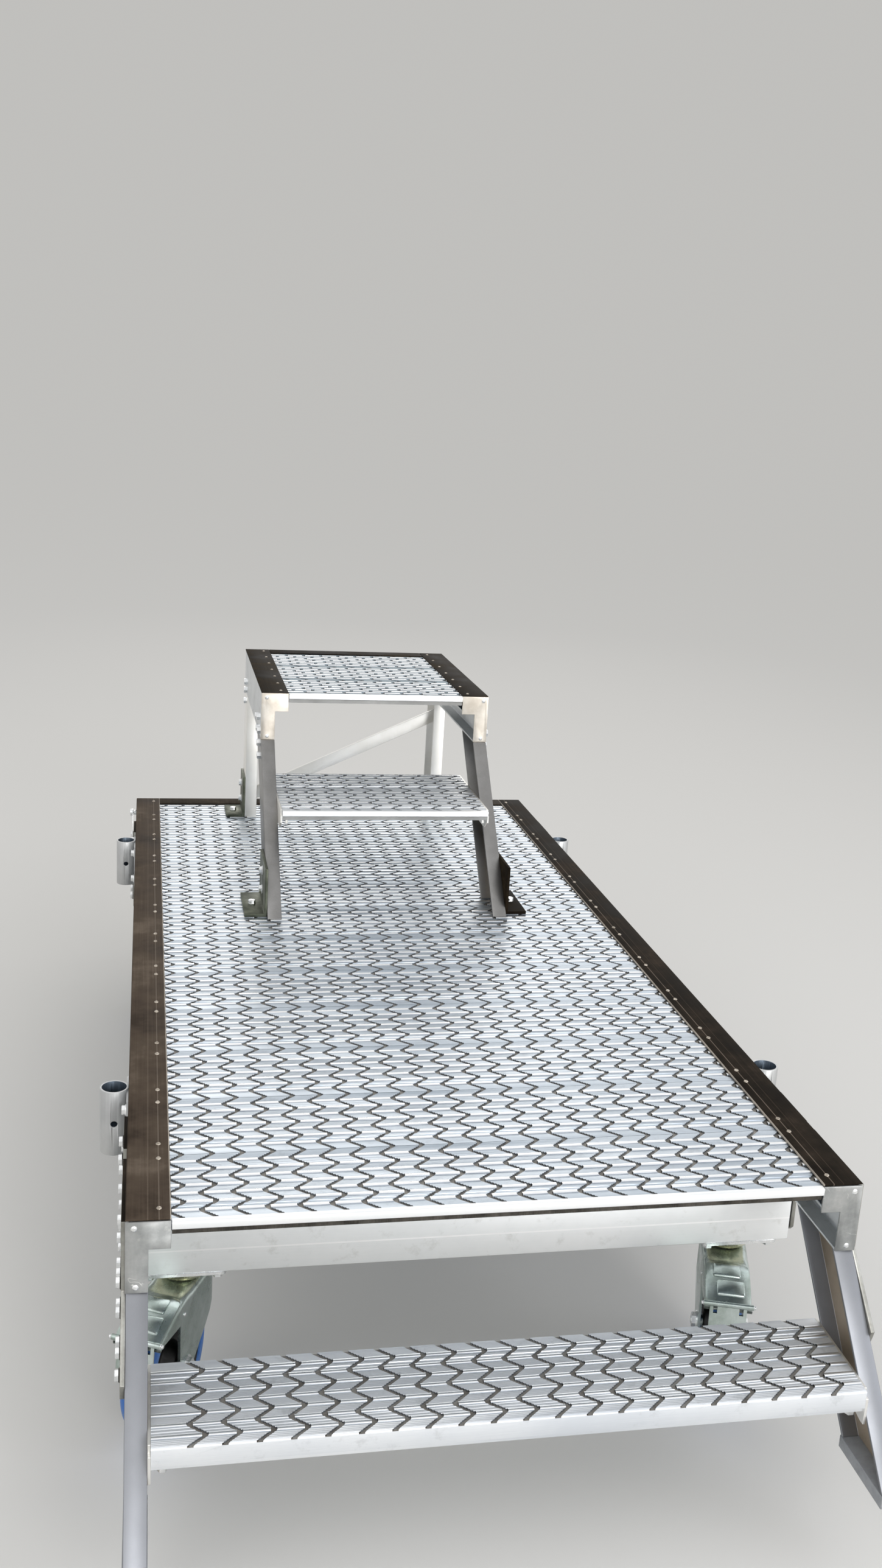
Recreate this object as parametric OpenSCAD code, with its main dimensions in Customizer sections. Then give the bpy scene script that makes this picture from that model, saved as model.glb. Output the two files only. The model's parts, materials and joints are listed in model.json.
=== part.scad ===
// Low mobile work platform with a stair: a deck of ribbed planks on four
// swivel castors, a one-tread stair in front and a two-step podium on top.
// Millimetres. X to the right, Y away from the stair, Z up from the floor.

/* [Deck] */
// Width over the two side beams
deck_width = 992; // [920:4:1060]
// Depth of one plank in the walking direction
plank_pitch = 164.5; // [160:0.5:170]
// Height of a plank
plank_height = 35; // [30:1:38]
// Number of planks in the deck
deck_planks_n = 12; // [12:1:13]
// Height of the side beams, and of the castor beams below them
beam_height = 100; // [94:2:106]
// Width of a side beam's flanges, and of the stringers
flange = 28; // [24:1:32]
// Thickness of the beams' walls
wall = 4; // [3:0.5:5]
// Width of the dark trim that covers the planks' ends
trim_width = 56; // [50:1:62]
// Thickness of that trim
trim_thick = 3; // [2:0.5:4]

/* [Grooves in the planks] */
// Distance between two zigzag grooves
groove_pitch = 41.7; // [38:0.1:46]
// Width of a groove, measured across the deck
groove_width = 8; // [6:0.5:10]
// How far a groove swings from side to side
groove_swing = 18.6; // [14:0.2:22]
// Depth of a groove below the ridges
groove_depth = 4; // [2:0.5:4]
// From a plank's left end to its first groove's middle line
groove_first = 54; // [40:1:60]

/* [Stair] */
// How far the tread's nose lies in front of the deck's edge
tread_reach = 142; // [134:2:150]
// How far the stringers' feet lie in front of the deck's edge
stringer_reach = 207; // [200:1:214]
// Clear height under the stringers' feet
feet_clear = 90; // [80:2:100]
// Depth of a stringer, measured level
stringer_depth = 121; // [114:1:128]

/* [Podium] */
// Rise of each podium step
podium_rise = 200; // [190:2:210]
// Width over the podium's stringers
podium_width = 487; // [460:1:520]
// How far the podium stands to the right of the middle
podium_x = 7.5; // [0:0.5:20]
// From the podium's rear to the deck's rear edge
podium_gap = 68.5; // [64:0.5:90]
// Depth of the podium's middle tread
podium_tread_d = 305; // [290:1:320]
// Level run of the podium's front edge, from foot to top
podium_run = 288; // [276:2:296]

/* [Castors] */
// Diameter of the wheels
wheel_d = 200; // [190:2:200]
// Width of the tyres
tyre_width = 46; // [40:1:48]
// From the swivel axis to the wheel's axle
castor_trail = 62; // [58:1:66]
// Distance of the swivel axes from the middle
castor_x = 418; // [390:2:424]
// Distance of the swivel axes from the deck's ends
castor_y = 250; // [240:2:270]
// Side of the square top plate
castor_plate = 120; // [110:1:124]
// Turn of the left front castor
yaw_lf = -25; // [-180:1:180]
// Turn of the right front castor
yaw_rf = -18; // [-180:1:180]
// Turn of the left rear castor
yaw_lr = -12; // [-180:1:180]
// Turn of the right rear castor
yaw_rr = 8; // [-180:1:180]

/* [Guard rail sockets] */
// Outer diameter of a socket tube
socket_d = 42.4; // [40:0.1:46]
// Wall of a socket tube
socket_wall = 3; // [2.5:0.1:4]
// Length of a socket tube
socket_length = 103; // [90:1:110]
// Gap between a front socket and the plate on the castor beam before it
socket_gap_front = 60; // [40:1:80]
// Gap between a rear socket and the plate on the castor beam behind it
socket_gap_rear = 8; // [6:1:40]

/* [Hidden] */
$fn = 48;
hw = deck_width / 2;
castor_h = wheel_d + 40;
deck_height = castor_h + 2 * beam_height;
stair_rise = deck_height / 2;
foot_t = 18;
stringer_drop = deck_height - feet_clear - foot_t;
deck_front = 2.2;
deck_end = deck_planks_n * plank_pitch + 17;
y_mid = (deck_end - stringer_reach - 1) / 2;
plank_x = hw - 8;
nose_x = hw - trim_width - 1;
nose_reach = 6;
nose_h = 11;
slot_back = 6;
tongue = 30;
tread_first = 38;
joint_h = 9;
rib = 1.5;
rib_w = 6;
ledge = 50;
mid_beam_w = 60;
mid_beam_h = 50;
plate_top = -2;
ph = podium_width / 2;
podium_planks_n = 3;
rear_angle = 40;
podium_top = 2 * podium_rise;
podium_end = deck_end - podium_gap;
podium_front = podium_end - rear_angle - podium_planks_n * plank_pitch - nose_reach - 1;
podium_y = podium_front - podium_run;
podium_tread_y = podium_y + podium_run / 2 - 56;
leg_depth = 91;
brace_low = 24;
brace_w = 32;
foot_front = 14;
foot_width = 137;
castor_rear = deck_end - castor_y;
tie_shift = 12;
tie_w = 96;
wheel_r = wheel_d / 2;
tyre_t = 16;
axle_r = 6;
boss_r = 23;
hub_dish_r = 30;
sheet = 4;
fork_out = 35;
fork_in = fork_out - sheet;
crown_y = 22;
crown_z = castor_h - 32.5;
hood_z = castor_h - 28.5;
leg_front = castor_trail + boss_r;
pedal_reach = castor_trail + wheel_r - 8;
bowl_r = 40;
pin_r = 8;
running = 0.4;
socket_plate_w = 84;
socket_x = hw + wall + socket_d / 2 - 3;
socket_front = castor_y - tie_shift + tie_w / 2 + socket_gap_front + socket_plate_w / 2;
socket_rear = castor_rear + tie_shift - tie_w / 2 - socket_gap_rear - socket_plate_w / 2;
socket_top = -5;
pin_from_end = 86;
gusset_t = 6;
gusset_low = -beam_height - 90;
gusset_bolts = [[150, -86], [112, -90], [95, -117], [69, -116], [45, -114], [60, -155], [38, -153],
    [28, -190], [6, -191]];
bolt_r = 8;
bolt_h = 7;
slope = (stringer_reach + 2) / (stringer_drop - beam_height);
podium_slope = (podium_run - 6) / (podium_top - beam_height);
steel = [0.72, 0.74, 0.76];
mill = [0.84, 0.85, 0.86];
dark = [0.23, 0.21, 0.2];
zinc = [0.66, 0.7, 0.72];
blue = [0.1, 0.3, 0.62];
black = [0.07, 0.07, 0.08];

// The deck's own frame: Y from its front edge, Z from its walking surface.
module on_deck() translate([0, -y_mid, deck_height]) children();
module on_podium() on_deck() translate([podium_x, 0, 0]) children();
module both_sides() {
    children();
    mirror([1, 0, 0]) children();
}
// A flat shape drawn in Y and Z, drawn out along X, and one drawn in X and Z, drawn out along Y.
module along_x(x0, x1) translate([x0, 0, 0]) rotate([90, 0, 90]) linear_extrude(x1 - x0) children();
module along_y(y0, y1) translate([0, y1, 0]) rotate([90, 0, 0]) linear_extrude(y1 - y0) children();
module box(lo, hi) translate(lo) cube(hi - lo);

// A hexagon bolt head with its washer on a side face, pointing out along +X, and one that points up.
module bolt_x(x, y, z) translate([x, y, z]) rotate([0, 90, 0]) {
    cylinder(r = bolt_r + 1, h = 1.6);
    cylinder(r = bolt_r, h = bolt_h, $fn = 6);
}
module bolt_up(x, y, z) translate([x, y, z]) cylinder(r = bolt_r, h = bolt_h, $fn = 6);

// Section of a plank: three hollow chambers under a top with seven raised ridges, an eighth of the plank's
// pitch apart. Its front end overhangs as a tongue that the next plank's rear end would meet, its own rear
// end has the step of that joint. The long deck's planks have their top drawn flat at the ridges' height,
// because its grooves alone are 264.
module plank_section(y0, y1, ridged = true) {
    h = plank_height;
    low = nose_h + joint_h;
    top = ridged ? rib : 0;
    first = y0 + tongue + wall;
    room = (y1 - 5 - first) / 3;
    difference() {
        union() {
            polygon([[y0, -top], [y0, -nose_h], [y0 + 6, -nose_h], [y0 + 6, -low], [y0 + tongue, -low],
                [y0 + tongue, -h], [y1 - 5, -h], [y1 - 5, 8 - h], [y1, 8 - h], [y1, -top]]);
            if (ridged) for (y = [y0 : plank_pitch / 8 : y1 - rib_w / 2]) if (y > y0 + rib_w)
                translate([y - rib_w / 2, -rib - 0.01]) square([rib_w, rib + 0.01]);
        }
        for (i = [0 : 2]) translate([first + i * room, wall - h]) square([room - wall, h - rib - 2 * wall]);
    }
}
// The zigzag grooves that are cut across a plank of half width x, turning at each ridge.
module grooves(x, y0, first = groove_first) {
    last = floor((2 * x - first - groove_swing) / groove_pitch);
    swing = [for (i = [0 : 8]) (i % 2 == 0 ? groove_swing : -groove_swing) / 2];
    w = groove_width / 2;
    left_side = [for (i = [0 : 8]) [swing[i] - w, i * plank_pitch / 8]];
    right_side = [for (i = [8 : -1 : 0]) [swing[i] + w, i * plank_pitch / 8]];
    for (k = [0 : last]) translate([-x + first + k * groove_pitch, y0, -groove_depth])
        linear_extrude(groove_depth + 1) polygon(concat(left_side, right_side));
}
// Front edge of the first plank of a deck or step: a lip with a rounded shoulder and, set back below it, the
// front of the tongue.
module nose_section(y0) {
    f = y0 - nose_reach - deck_front;
    low = nose_h + joint_h;
    back = f + slot_back;
    polygon([[y0 + 1, 0], [f + 3, 0], [f + 1, -1], [f, -3], [f, -nose_h], [back, -nose_h], [back, -low],
        [y0 + 7, -low], [y0 + 7, -nose_h], [y0 + 1, -nose_h]]);
}
module plank_row(x, y0, n, ridged) for (i = [0 : n - 1]) difference() {
    along_x(-x, x)
        plank_section(y0 + i * plank_pitch + (i == 0 ? 0 : 1), y0 + (i + 1) * plank_pitch, ridged);
    grooves(x, y0 + i * plank_pitch);
}

// Section of a side beam, in X and Z, for a half width: web, lower flange and ledge under the planks.
module beam_section(h) {
    translate([h - wall, -beam_height]) square([wall, beam_height]);
    translate([h - flange, -beam_height]) square([flange, wall]);
    translate([h - ledge, -plank_height - wall]) square([ledge, wall]);
}

module deck_planks() color(mill) on_deck() {
    plank_row(plank_x, deck_front, deck_planks_n, false);
    along_x(-nose_x, nose_x) nose_section(deck_front);
}
module side_beams() color(steel) on_deck() both_sides() along_y(0, deck_end - wall) beam_section(hw);

module rear_beam() color(steel) on_deck() {
    box([-hw, deck_end - wall, -beam_height], [hw, deck_end, 0]);
    box([-hw + flange, deck_end - flange, -beam_height], [hw - flange, deck_end - wall, -beam_height + wall]);
}

// Square tubes that lie under the side beams and carry the castors.
module castor_beams() color(mill) on_deck() for (y = [castor_y, castor_rear]) difference() {
    box([-hw + 2, y - castor_plate / 2, -2 * beam_height], [hw - 2, y + castor_plate / 2, -beam_height]);
    box([-hw, y - castor_plate / 2 + wall, -2 * beam_height + wall],
        [hw, y + castor_plate / 2 - wall, -beam_height - wall]);
}

// Hollow beams under the planks, between the castor beams.
module mid_beams() color(steel) on_deck() for (y = [deck_end * 0.38, deck_end * 0.62]) difference() {
    w = mid_beam_w / 2;
    top = -plank_height - wall;
    box([-hw + wall, y - w, top - mid_beam_h], [hw - wall, y + w, top]);
    box([-hw, y - w + wall, top - mid_beam_h + wall], [hw, y + w - wall, top - wall]);
}

// Trim strip over the ends of the planks, with its outer top edge broken.
module side_trim() along_y(0, deck_end) polygon([[hw - trim_width, 0], [hw + 1, 0], [hw + 1, trim_thick - 1],
    [hw, trim_thick], [hw - trim_width, trim_thick]]);
module trim_left() color(dark) on_deck() mirror([1, 0, 0]) side_trim();
module trim_right() color(dark) on_deck() side_trim();
module trim_rear() color(dark) on_deck()
    box([-hw + trim_width, deck_end - 45, 0], [hw - trim_width, deck_end, trim_thick]);

// Sheet that closes the front end of a side beam: wide at the top and one flange wide below.
module corner_plate(h, y) {
    along_y(y - 3, y) {
        translate([h - trim_width, -plank_height - wall]) square([trim_width + 1, plank_height + wall]);
        translate([h - flange, -beam_height]) square([flange + 1, beam_height]);
    }
    for (p = [[h - 10, -9], [h - 12, -beam_height + 8]])
        translate([p[0], y - 3, p[1]]) rotate([90, 0, 0]) cylinder(r1 = 4, r2 = 2.6, h = 1.6);
}
module corner_plates() color(zinc) on_deck() both_sides() corner_plate(hw, 0);

// Channel stringer that opens inward: h is the outer half width, s the slope, z1 the foot's height.
module stringer(h, y0, z0, s, z1) {
    t = wall * 1.4;
    d = stringer_depth;
    foot = y0 - s * (z0 - z1);
    along_x(h - wall, h) polygon([[y0, z0], [foot, z1], [foot + d, z1], [y0 + d, z0]]);
    along_x(h - flange, h) {
        polygon([[y0, z0], [foot, z1], [foot + t, z1], [y0 + t, z0]]);
        polygon([[y0 + d - t, z0], [foot + d - t, z1], [foot + d, z1], [y0 + d, z0]]);
    }
}
module stringers() color(steel) on_deck() both_sides() stringer(hw, 2, -beam_height, slope, -stringer_drop);

// The stair's tread is a plank turned round, so that its flat rear face is in front.
module stair_tread() color(mill) on_deck() translate([0, plank_pitch - 1.5 - tread_reach, -stair_rise])
    rotate([0, 0, 180]) difference() {
        x = hw - flange - 4;
        along_x(-x, x) plank_section(0, plank_pitch - 1.5);
        grooves(x, 0, tread_first);
    }

// Plates that hold a tread between the stringers, with a lug that hangs in front. y is the tread's front
// face, z its top, d its depth and hang the lug's length; the plate lies under the nose where there is one.
module tread_bracket(h, y, z, d, hang) {
    low = z - plank_height - 8;
    lug = z - hang;
    along_x(h - flange - 4, h - flange) polygon([[y, z - nose_h - 2], [y, lug], [y + 9, lug],
        [y + max(12, 0.9 * hang), low], [y + d, low], [y + d, z - rib], [y + 8, z - rib],
        [y + 8, z - nose_h - 2]]);
}
module tread_brackets() color(zinc) on_deck() both_sides()
    tread_bracket(hw, -tread_reach, -stair_rise, plank_pitch - 1.5, 68);

module stringer_feet() color(steel) on_deck() both_sides()
    box([hw - flange - 1, -stringer_reach - 1, -stringer_drop - foot_t],
        [hw + 1, -stringer_reach + stringer_depth + 1, -stringer_drop]);

// Outer plates that tie stringer and side beam, and their bolts in rows: on the beam, on the stringer's top
// and down the stringer, where the last one holds the tread.
module gusset() {
    y0 = 4;
    y1 = 164;
    f = y0 + slope * (gusset_low + beam_height);
    toe = gusset_low - 14;
    along_x(hw, hw + gusset_t) polygon([[y0, plate_top], [y0, -beam_height], [f, gusset_low + 10],
        [f + 8, toe], [f + 60, toe], [f + stringer_depth - 3, gusset_low + 4], [stringer_depth, -beam_height],
        [y1, -beam_height], [y1, plate_top]]);
    for (p = gusset_bolts) bolt_x(hw + gusset_t, p[0], p[1]);
    bolt_x(hw + gusset_t, f + 38, gusset_low - 1);
}
module gussets() color(steel) on_deck() both_sides() gusset();

// Plates that tie the side beams to the castor beams.
module beam_tie(y) {
    w = tie_w / 2;
    low = -2 * beam_height + 12;
    along_x(hw, hw + gusset_t) polygon([[y - w, plate_top], [y - w, low + 8], [y - w + 8, low],
        [y + w - 8, low], [y + w, low + 8], [y + w, plate_top]]);
    for (dy = [-26, 26], z = [-30, -75, -beam_height - 30, -beam_height - 65])
        bolt_x(hw + gusset_t, y + dy, z);
}
module beam_ties() color(steel) on_deck() both_sides() {
    beam_tie(castor_y - tie_shift);
    beam_tie(castor_rear + tie_shift);
}

// Socket tube for a guard rail post: back plate, tube with a cross hole, and its bolts.
module socket(y) {
    w = socket_plate_w / 2;
    difference() {
        union() {
            box([hw, y - w, socket_top - socket_length + 4], [hw + wall, y + w, socket_top - 4]);
            translate([socket_x, y, socket_top - socket_length]) cylinder(d = socket_d, h = socket_length);
        }
        translate([socket_x, y, socket_top - socket_length - 1])
            cylinder(d = socket_d - 2 * socket_wall, h = socket_length + 2);
        translate([socket_x, y, socket_top - socket_length / 2]) rotate([90, 0, 0])
            cylinder(r = 5, h = socket_d + 10, center = true);
    }
    for (dy = [-32, 32], z = [-28, -88]) bolt_x(hw + wall, y + dy, z);
}
module socket_right_front() color(steel) on_deck() socket(socket_front);
module socket_right_rear() color(steel) on_deck() socket(socket_rear);
module socket_left_front() color(steel) on_deck() mirror([1, 0, 0]) socket(socket_front);
module socket_left_rear() color(steel) on_deck() mirror([1, 0, 0]) socket(socket_rear);

// Knob of the pin that locks a post, parked on the side beam near its rear end, with its wire past the tie
// to an eye on the left rear socket's plate.
module lock_pin() color(steel) on_deck() mirror([1, 0, 0]) {
    y = deck_end - pin_from_end;
    z = -10;
    eye_y = socket_rear + socket_plate_w / 2 - 5;
    run = y - eye_y;
    rise = 3;
    translate([hw, y, z]) rotate([0, 90, 0]) cylinder(r = 6, h = 9);
    translate([hw + 8, y, z]) rotate([0, 90, 0]) cylinder(r = 9, h = 8);
    translate([hw + 9, y, z]) rotate([90 + atan(rise / run), 0, 0]) cylinder(r = 1.2, h = norm([rise, run]));
    translate([hw + wall, eye_y, z - rise]) rotate([0, 90, 0]) cylinder(r = 3, h = 8);
}

module podium_stringers() color(steel) on_podium() both_sides()
    stringer(ph, podium_front - 6, podium_top - beam_height, podium_slope, 0);

// The podium's middle tread is one plank with its nose in front, and the cut front part of a second plank.
module podium_tread() color(mill) on_podium() translate([0, 0, podium_rise]) {
    x = ph - flange - 4;
    y0 = podium_tread_y + deck_front;
    y1 = y0 + plank_pitch;
    difference() {
        along_x(-x, x) {
            plank_section(y0, y1);
            plank_section(y1 + 1, podium_tread_y + podium_tread_d);
        }
        grooves(x, y0);
        grooves(x, y1);
    }
    along_x(-x, x) nose_section(y0);
}
module podium_brackets() color(zinc) on_podium() both_sides()
    tread_bracket(ph, podium_tread_y + 4, podium_rise, podium_tread_d - 5, 28);

module podium_planks() color(mill) on_podium() translate([0, 0, podium_top]) {
    plank_row(ph - 8, podium_front + deck_front, podium_planks_n, true);
    along_x(-ph + trim_width + 1, ph - trim_width - 1) nose_section(podium_front + deck_front);
}
module podium_beams() color(steel) on_podium() translate([0, 0, podium_top])
    both_sides() along_y(podium_front, podium_end) beam_section(ph);
module podium_rear() color(steel) on_podium() translate([0, 0, podium_top])
    box([-ph + wall, podium_end - wall, -plank_height], [ph - wall, podium_end, 0]);

module podium_trims() color(dark) on_podium() translate([0, 0, podium_top]) {
    both_sides() box([ph - trim_width, podium_front, 0], [ph + 1, podium_end, trim_thick]);
    x = ph - trim_width - 0.5;
    box([-x, podium_end - rear_angle - 8, 0], [x, podium_end, trim_thick]);
}

module podium_corners() color(zinc) on_podium() translate([0, 0, podium_top]) both_sides()
    corner_plate(ph, podium_front);

// Upright rear legs, channels that open inward.
module podium_legs() color(mill) on_podium() both_sides() {
    y0 = podium_end - leg_depth;
    top = podium_top - beam_height;
    box([ph - wall, y0, 0], [ph, podium_end, top]);
    box([ph - flange, y0, 0], [ph, y0 + wall, top]);
    box([ph - flange, podium_end - wall, 0], [ph, podium_end, top]);
}
// Flat bar that rises from the left leg's foot to the right leg's head.
module podium_brace() color(steel) on_podium() {
    x = ph - wall;
    y = podium_end - leg_depth / 2;
    head = podium_top - beam_height - brace_low - brace_w;
    along_y(y - 3, y + 3)
        polygon([[-x, brace_low], [x, head], [x, head + brace_w], [-x, brace_low + brace_w]]);
}

// Angles that bolt the podium's feet to the deck.
module foot_angle(y0, y1) {
    mid = (y0 + y1) / 2;
    box([ph, y0, 0], [ph + 45, y1, 6]);
    box([ph, y0, 6], [ph + 6, y1, 100]);
    for (z = [36, 76]) bolt_x(ph + 6, mid, z);
    bolt_up(ph + 26, mid, 6);
}
module podium_feet() color(zinc) on_podium() both_sides() {
    foot_angle(podium_y + foot_front, podium_y + foot_front + foot_width);
    foot_angle(podium_end - leg_depth, podium_end);
}

// A castor's own frame: the swivel axis is Z, the floor is Z = 0 and the wheel trails along -Y.
module at_castor(sx, y, yaw) translate([sx * castor_x, y - y_mid, 0]) rotate([0, 0, yaw]) children();

// Fixed half of a castor: top plate, pressed bearing bowl, king pin with its nut, and the four bolts.
module castor_top(sx, y) translate([sx * castor_x, y - y_mid, 0]) {
    bolt_at = castor_plate / 2 - 12;
    low = crown_z + 0.3;
    translate([-castor_plate / 2, -castor_plate / 2, castor_h - 6]) cube([castor_plate, castor_plate, 6]);
    rotate_extrude() polygon([[0, castor_h - 6], [bowl_r, castor_h - 6], [bowl_r, castor_h - 17],
        [bowl_r - 4, castor_h - 25], [bowl_r - 12, low], [0, low]]);
    translate([0, 0, crown_z - 10]) cylinder(r = pin_r, h = 11);
    translate([0, 0, crown_z - 12]) cylinder(r = 13, h = 12 - sheet - 0.3, $fn = 6);
    for (dx = [-bolt_at, bolt_at], dy = [-bolt_at, bolt_at]) bolt_up(dx, dy, castor_h - 6 - bolt_h);
}

// Outline of a fork's cheek and hood from the side, in Y and Z.
module fork_side() {
    f = -leg_front;
    p = -pedal_reach;
    translate([-castor_trail, wheel_r]) circle(r = boss_r);
    polygon([[60, crown_z], [60, castor_h - 64], [30, castor_h - 104],
        [boss_r * 0.6 - castor_trail, wheel_r - boss_r * 0.8], [f, wheel_r], [f, castor_h - 64],
        [p + 2, castor_h - 58], [p - 1, castor_h - 51], [p + 4, castor_h - 47], [f + 10, hood_z],
        [f + 32, hood_z], [f + 43, crown_z]]);
}
// Plan of the fork: parallel cheeks, open in front, that close in a half round behind the swivel.
module fork_plan(r) {
    translate([0, crown_y]) circle(r = r);
    translate([-r, -pedal_reach - 10]) square([2 * r, pedal_reach + 10 + crown_y]);
}
// The room inside the fork from the side: the sheet's thickness below crown and hood, open in front.
module fork_room() {
    f = -leg_front;
    p = -pedal_reach - 20;
    polygon([[60, 0], [60, crown_z - sheet], [f + 41, crown_z - sheet], [f + 32, hood_z - sheet],
        [f + 10, hood_z - sheet], [p, castor_h - 57], [p, 0]]);
}
module castor_fork() {
    top = castor_h - 25;
    axle_x = fork_out + 9;
    difference() {
        intersection() {
            linear_extrude(top) fork_plan(fork_out);
            along_x(-fork_out - 1, fork_out + 1) fork_side();
        }
        intersection() {
            translate([0, 0, -1]) linear_extrude(top) fork_plan(fork_in);
            along_x(-fork_out, fork_out) fork_room();
        }
        translate([0, 0, crown_z - 20]) cylinder(r = pin_r + running, h = 30);
    }
    translate([-axle_x, -castor_trail, wheel_r]) rotate([0, 90, 0]) cylinder(r = axle_r, h = 2 * axle_x);
    for (s = [-1, 1]) {
        translate([s * (fork_out + 4), -castor_trail, wheel_r]) rotate([0, 90, 0])
            cylinder(r = 11, h = 8, $fn = 6, center = true);
        translate([s * (fork_in - 2.5), -castor_trail, wheel_r]) rotate([0, 90, 0])
            cylinder(r = 10, h = 5, center = true);
    }
    brake_pedal();
}
// The brake's pedal: a pressed plate on the hood with two raised pads, a rolled lip, and an apron with two
// slots that hangs in front of the tyre.
module brake_pedal() {
    lip_y = -pedal_reach + 1;
    lip_z = castor_h - 50;
    back_y = -leg_front + 13;
    hem_y = -castor_trail - wheel_r + 2;
    hem_z = wheel_r + 52;
    fall = atan((hood_z + 2.5 - lip_z - 3) / (back_y - lip_y));
    translate([0, back_y, hood_z + 2.5]) rotate([fall, 0, 0]) {
        translate([-fork_out + 2, lip_y - back_y, -3]) cube([2 * fork_out - 4, back_y - lip_y, 3]);
        for (k = [0, 1]) translate([-21 + 3 * k, -36 - 33 * k, -1]) linear_extrude(3) square([42, 27]);
    }
    translate([-fork_out - 2, lip_y, lip_z]) rotate([0, 90, 0]) cylinder(r = 4, h = 2 * fork_out + 4);
    difference() {
        along_x(-27, 27) polygon([[lip_y, lip_z], [lip_y + 4, lip_z], [hem_y + 4, hem_z], [hem_y, hem_z]]);
        for (x = [-22, 16]) box([x, lip_y - 20, lip_z - 12], [x + 6, lip_y + 10, lip_z - 6]);
    }
}

module wheel_turn() translate([0, -castor_trail, wheel_r]) rotate([0, 90, 0])
    rotate_extrude($fn = 96) children();
module castor_tyre() wheel_turn() {
    w = tyre_width / 2;
    r = wheel_r - tyre_t;
    polygon([[r, -w], [wheel_r - 6, -w], [wheel_r - 1.5, -w + 6], [wheel_r, 0], [wheel_r - 1.5, w - 6],
        [wheel_r - 6, w], [r, w]]);
}
module castor_hub() wheel_turn() {
    r = wheel_r - tyre_t;
    w = tyre_width / 2 - 3;
    d = hub_dish_r;
    bore = axle_r + 0.05;
    polygon([[r, -w], [r - 6, -w], [r - 12, -6], [d, -6], [d - 6, -25], [bore, -25], [bore, 25], [d - 6, 25],
        [d, 6], [r - 12, 6], [r - 6, w], [r, w]]);
}

module castor_plates() color(zinc) for (sx = [-1, 1], y = [castor_y, castor_rear]) castor_top(sx, y);
module fork_lf() color(zinc) at_castor(-1, castor_y, yaw_lf) castor_fork();
module fork_rf() color(zinc) at_castor(1, castor_y, yaw_rf) castor_fork();
module fork_lr() color(zinc) at_castor(-1, castor_rear, yaw_lr) castor_fork();
module fork_rr() color(zinc) at_castor(1, castor_rear, yaw_rr) castor_fork();
module tyre_lf() color(blue) at_castor(-1, castor_y, yaw_lf) castor_tyre();
module tyre_rf() color(blue) at_castor(1, castor_y, yaw_rf) castor_tyre();
module tyre_lr() color(blue) at_castor(-1, castor_rear, yaw_lr) castor_tyre();
module tyre_rr() color(blue) at_castor(1, castor_rear, yaw_rr) castor_tyre();
module hub_lf() color(black) at_castor(-1, castor_y, yaw_lf) castor_hub();
module hub_rf() color(black) at_castor(1, castor_y, yaw_rf) castor_hub();
module hub_lr() color(black) at_castor(-1, castor_rear, yaw_lr) castor_hub();
module hub_rr() color(black) at_castor(1, castor_rear, yaw_rr) castor_hub();

deck_planks();
side_beams();
rear_beam();
castor_beams();
mid_beams();
trim_left();
trim_right();
trim_rear();
corner_plates();
stringers();
stair_tread();
tread_brackets();
stringer_feet();
gussets();
beam_ties();
socket_left_front();
socket_right_front();
socket_left_rear();
socket_right_rear();
lock_pin();
podium_stringers();
podium_tread();
podium_brackets();
podium_planks();
podium_beams();
podium_rear();
podium_trims();
podium_corners();
podium_legs();
podium_brace();
podium_feet();
castor_plates();
fork_lf();
fork_rf();
fork_lr();
fork_rr();
tyre_lf();
tyre_rf();
tyre_lr();
tyre_rr();
hub_lf();
hub_rf();
hub_lr();
hub_rr();
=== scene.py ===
# %% [markdown]
# Low mobile work platform, dressed in Blender.
# The solids come from the CAD model and stay where they are. This file gives every surface its finish and
# builds the parts whose look is in their fine shape: ribbed planks with cut grooves, rivets, castor forks.
# Everything is in metres, Z up, with the stair in front at the low end of Y.

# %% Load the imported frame
import json
import math
import bmesh
import bpy
from mathutils import Matrix, Vector


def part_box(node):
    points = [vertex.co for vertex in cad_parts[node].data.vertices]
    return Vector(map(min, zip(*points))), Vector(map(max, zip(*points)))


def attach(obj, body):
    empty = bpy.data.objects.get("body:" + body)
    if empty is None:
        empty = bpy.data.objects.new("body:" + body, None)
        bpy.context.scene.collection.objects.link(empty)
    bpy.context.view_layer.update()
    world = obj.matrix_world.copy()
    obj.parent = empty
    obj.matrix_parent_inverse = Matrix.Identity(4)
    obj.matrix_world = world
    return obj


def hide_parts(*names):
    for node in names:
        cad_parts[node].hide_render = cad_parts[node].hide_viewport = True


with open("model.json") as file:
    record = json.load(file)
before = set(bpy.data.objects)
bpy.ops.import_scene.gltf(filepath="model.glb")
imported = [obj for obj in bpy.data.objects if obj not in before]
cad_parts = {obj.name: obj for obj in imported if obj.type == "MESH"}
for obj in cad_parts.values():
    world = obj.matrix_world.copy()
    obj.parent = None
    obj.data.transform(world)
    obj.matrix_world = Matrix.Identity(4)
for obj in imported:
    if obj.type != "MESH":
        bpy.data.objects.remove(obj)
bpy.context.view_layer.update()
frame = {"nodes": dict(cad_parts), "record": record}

body_of = {n: b for b, ns in frame["record"]["behaviour"]["bodies"].items() for n in ns}

# %% [markdown]
# The photograph was taken by someone standing left of the stair with a short lens. A camera that was fitted
# to it is written here as a place, three directions and a focal length, so that every size measured on the
# picture agrees with the model.

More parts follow.
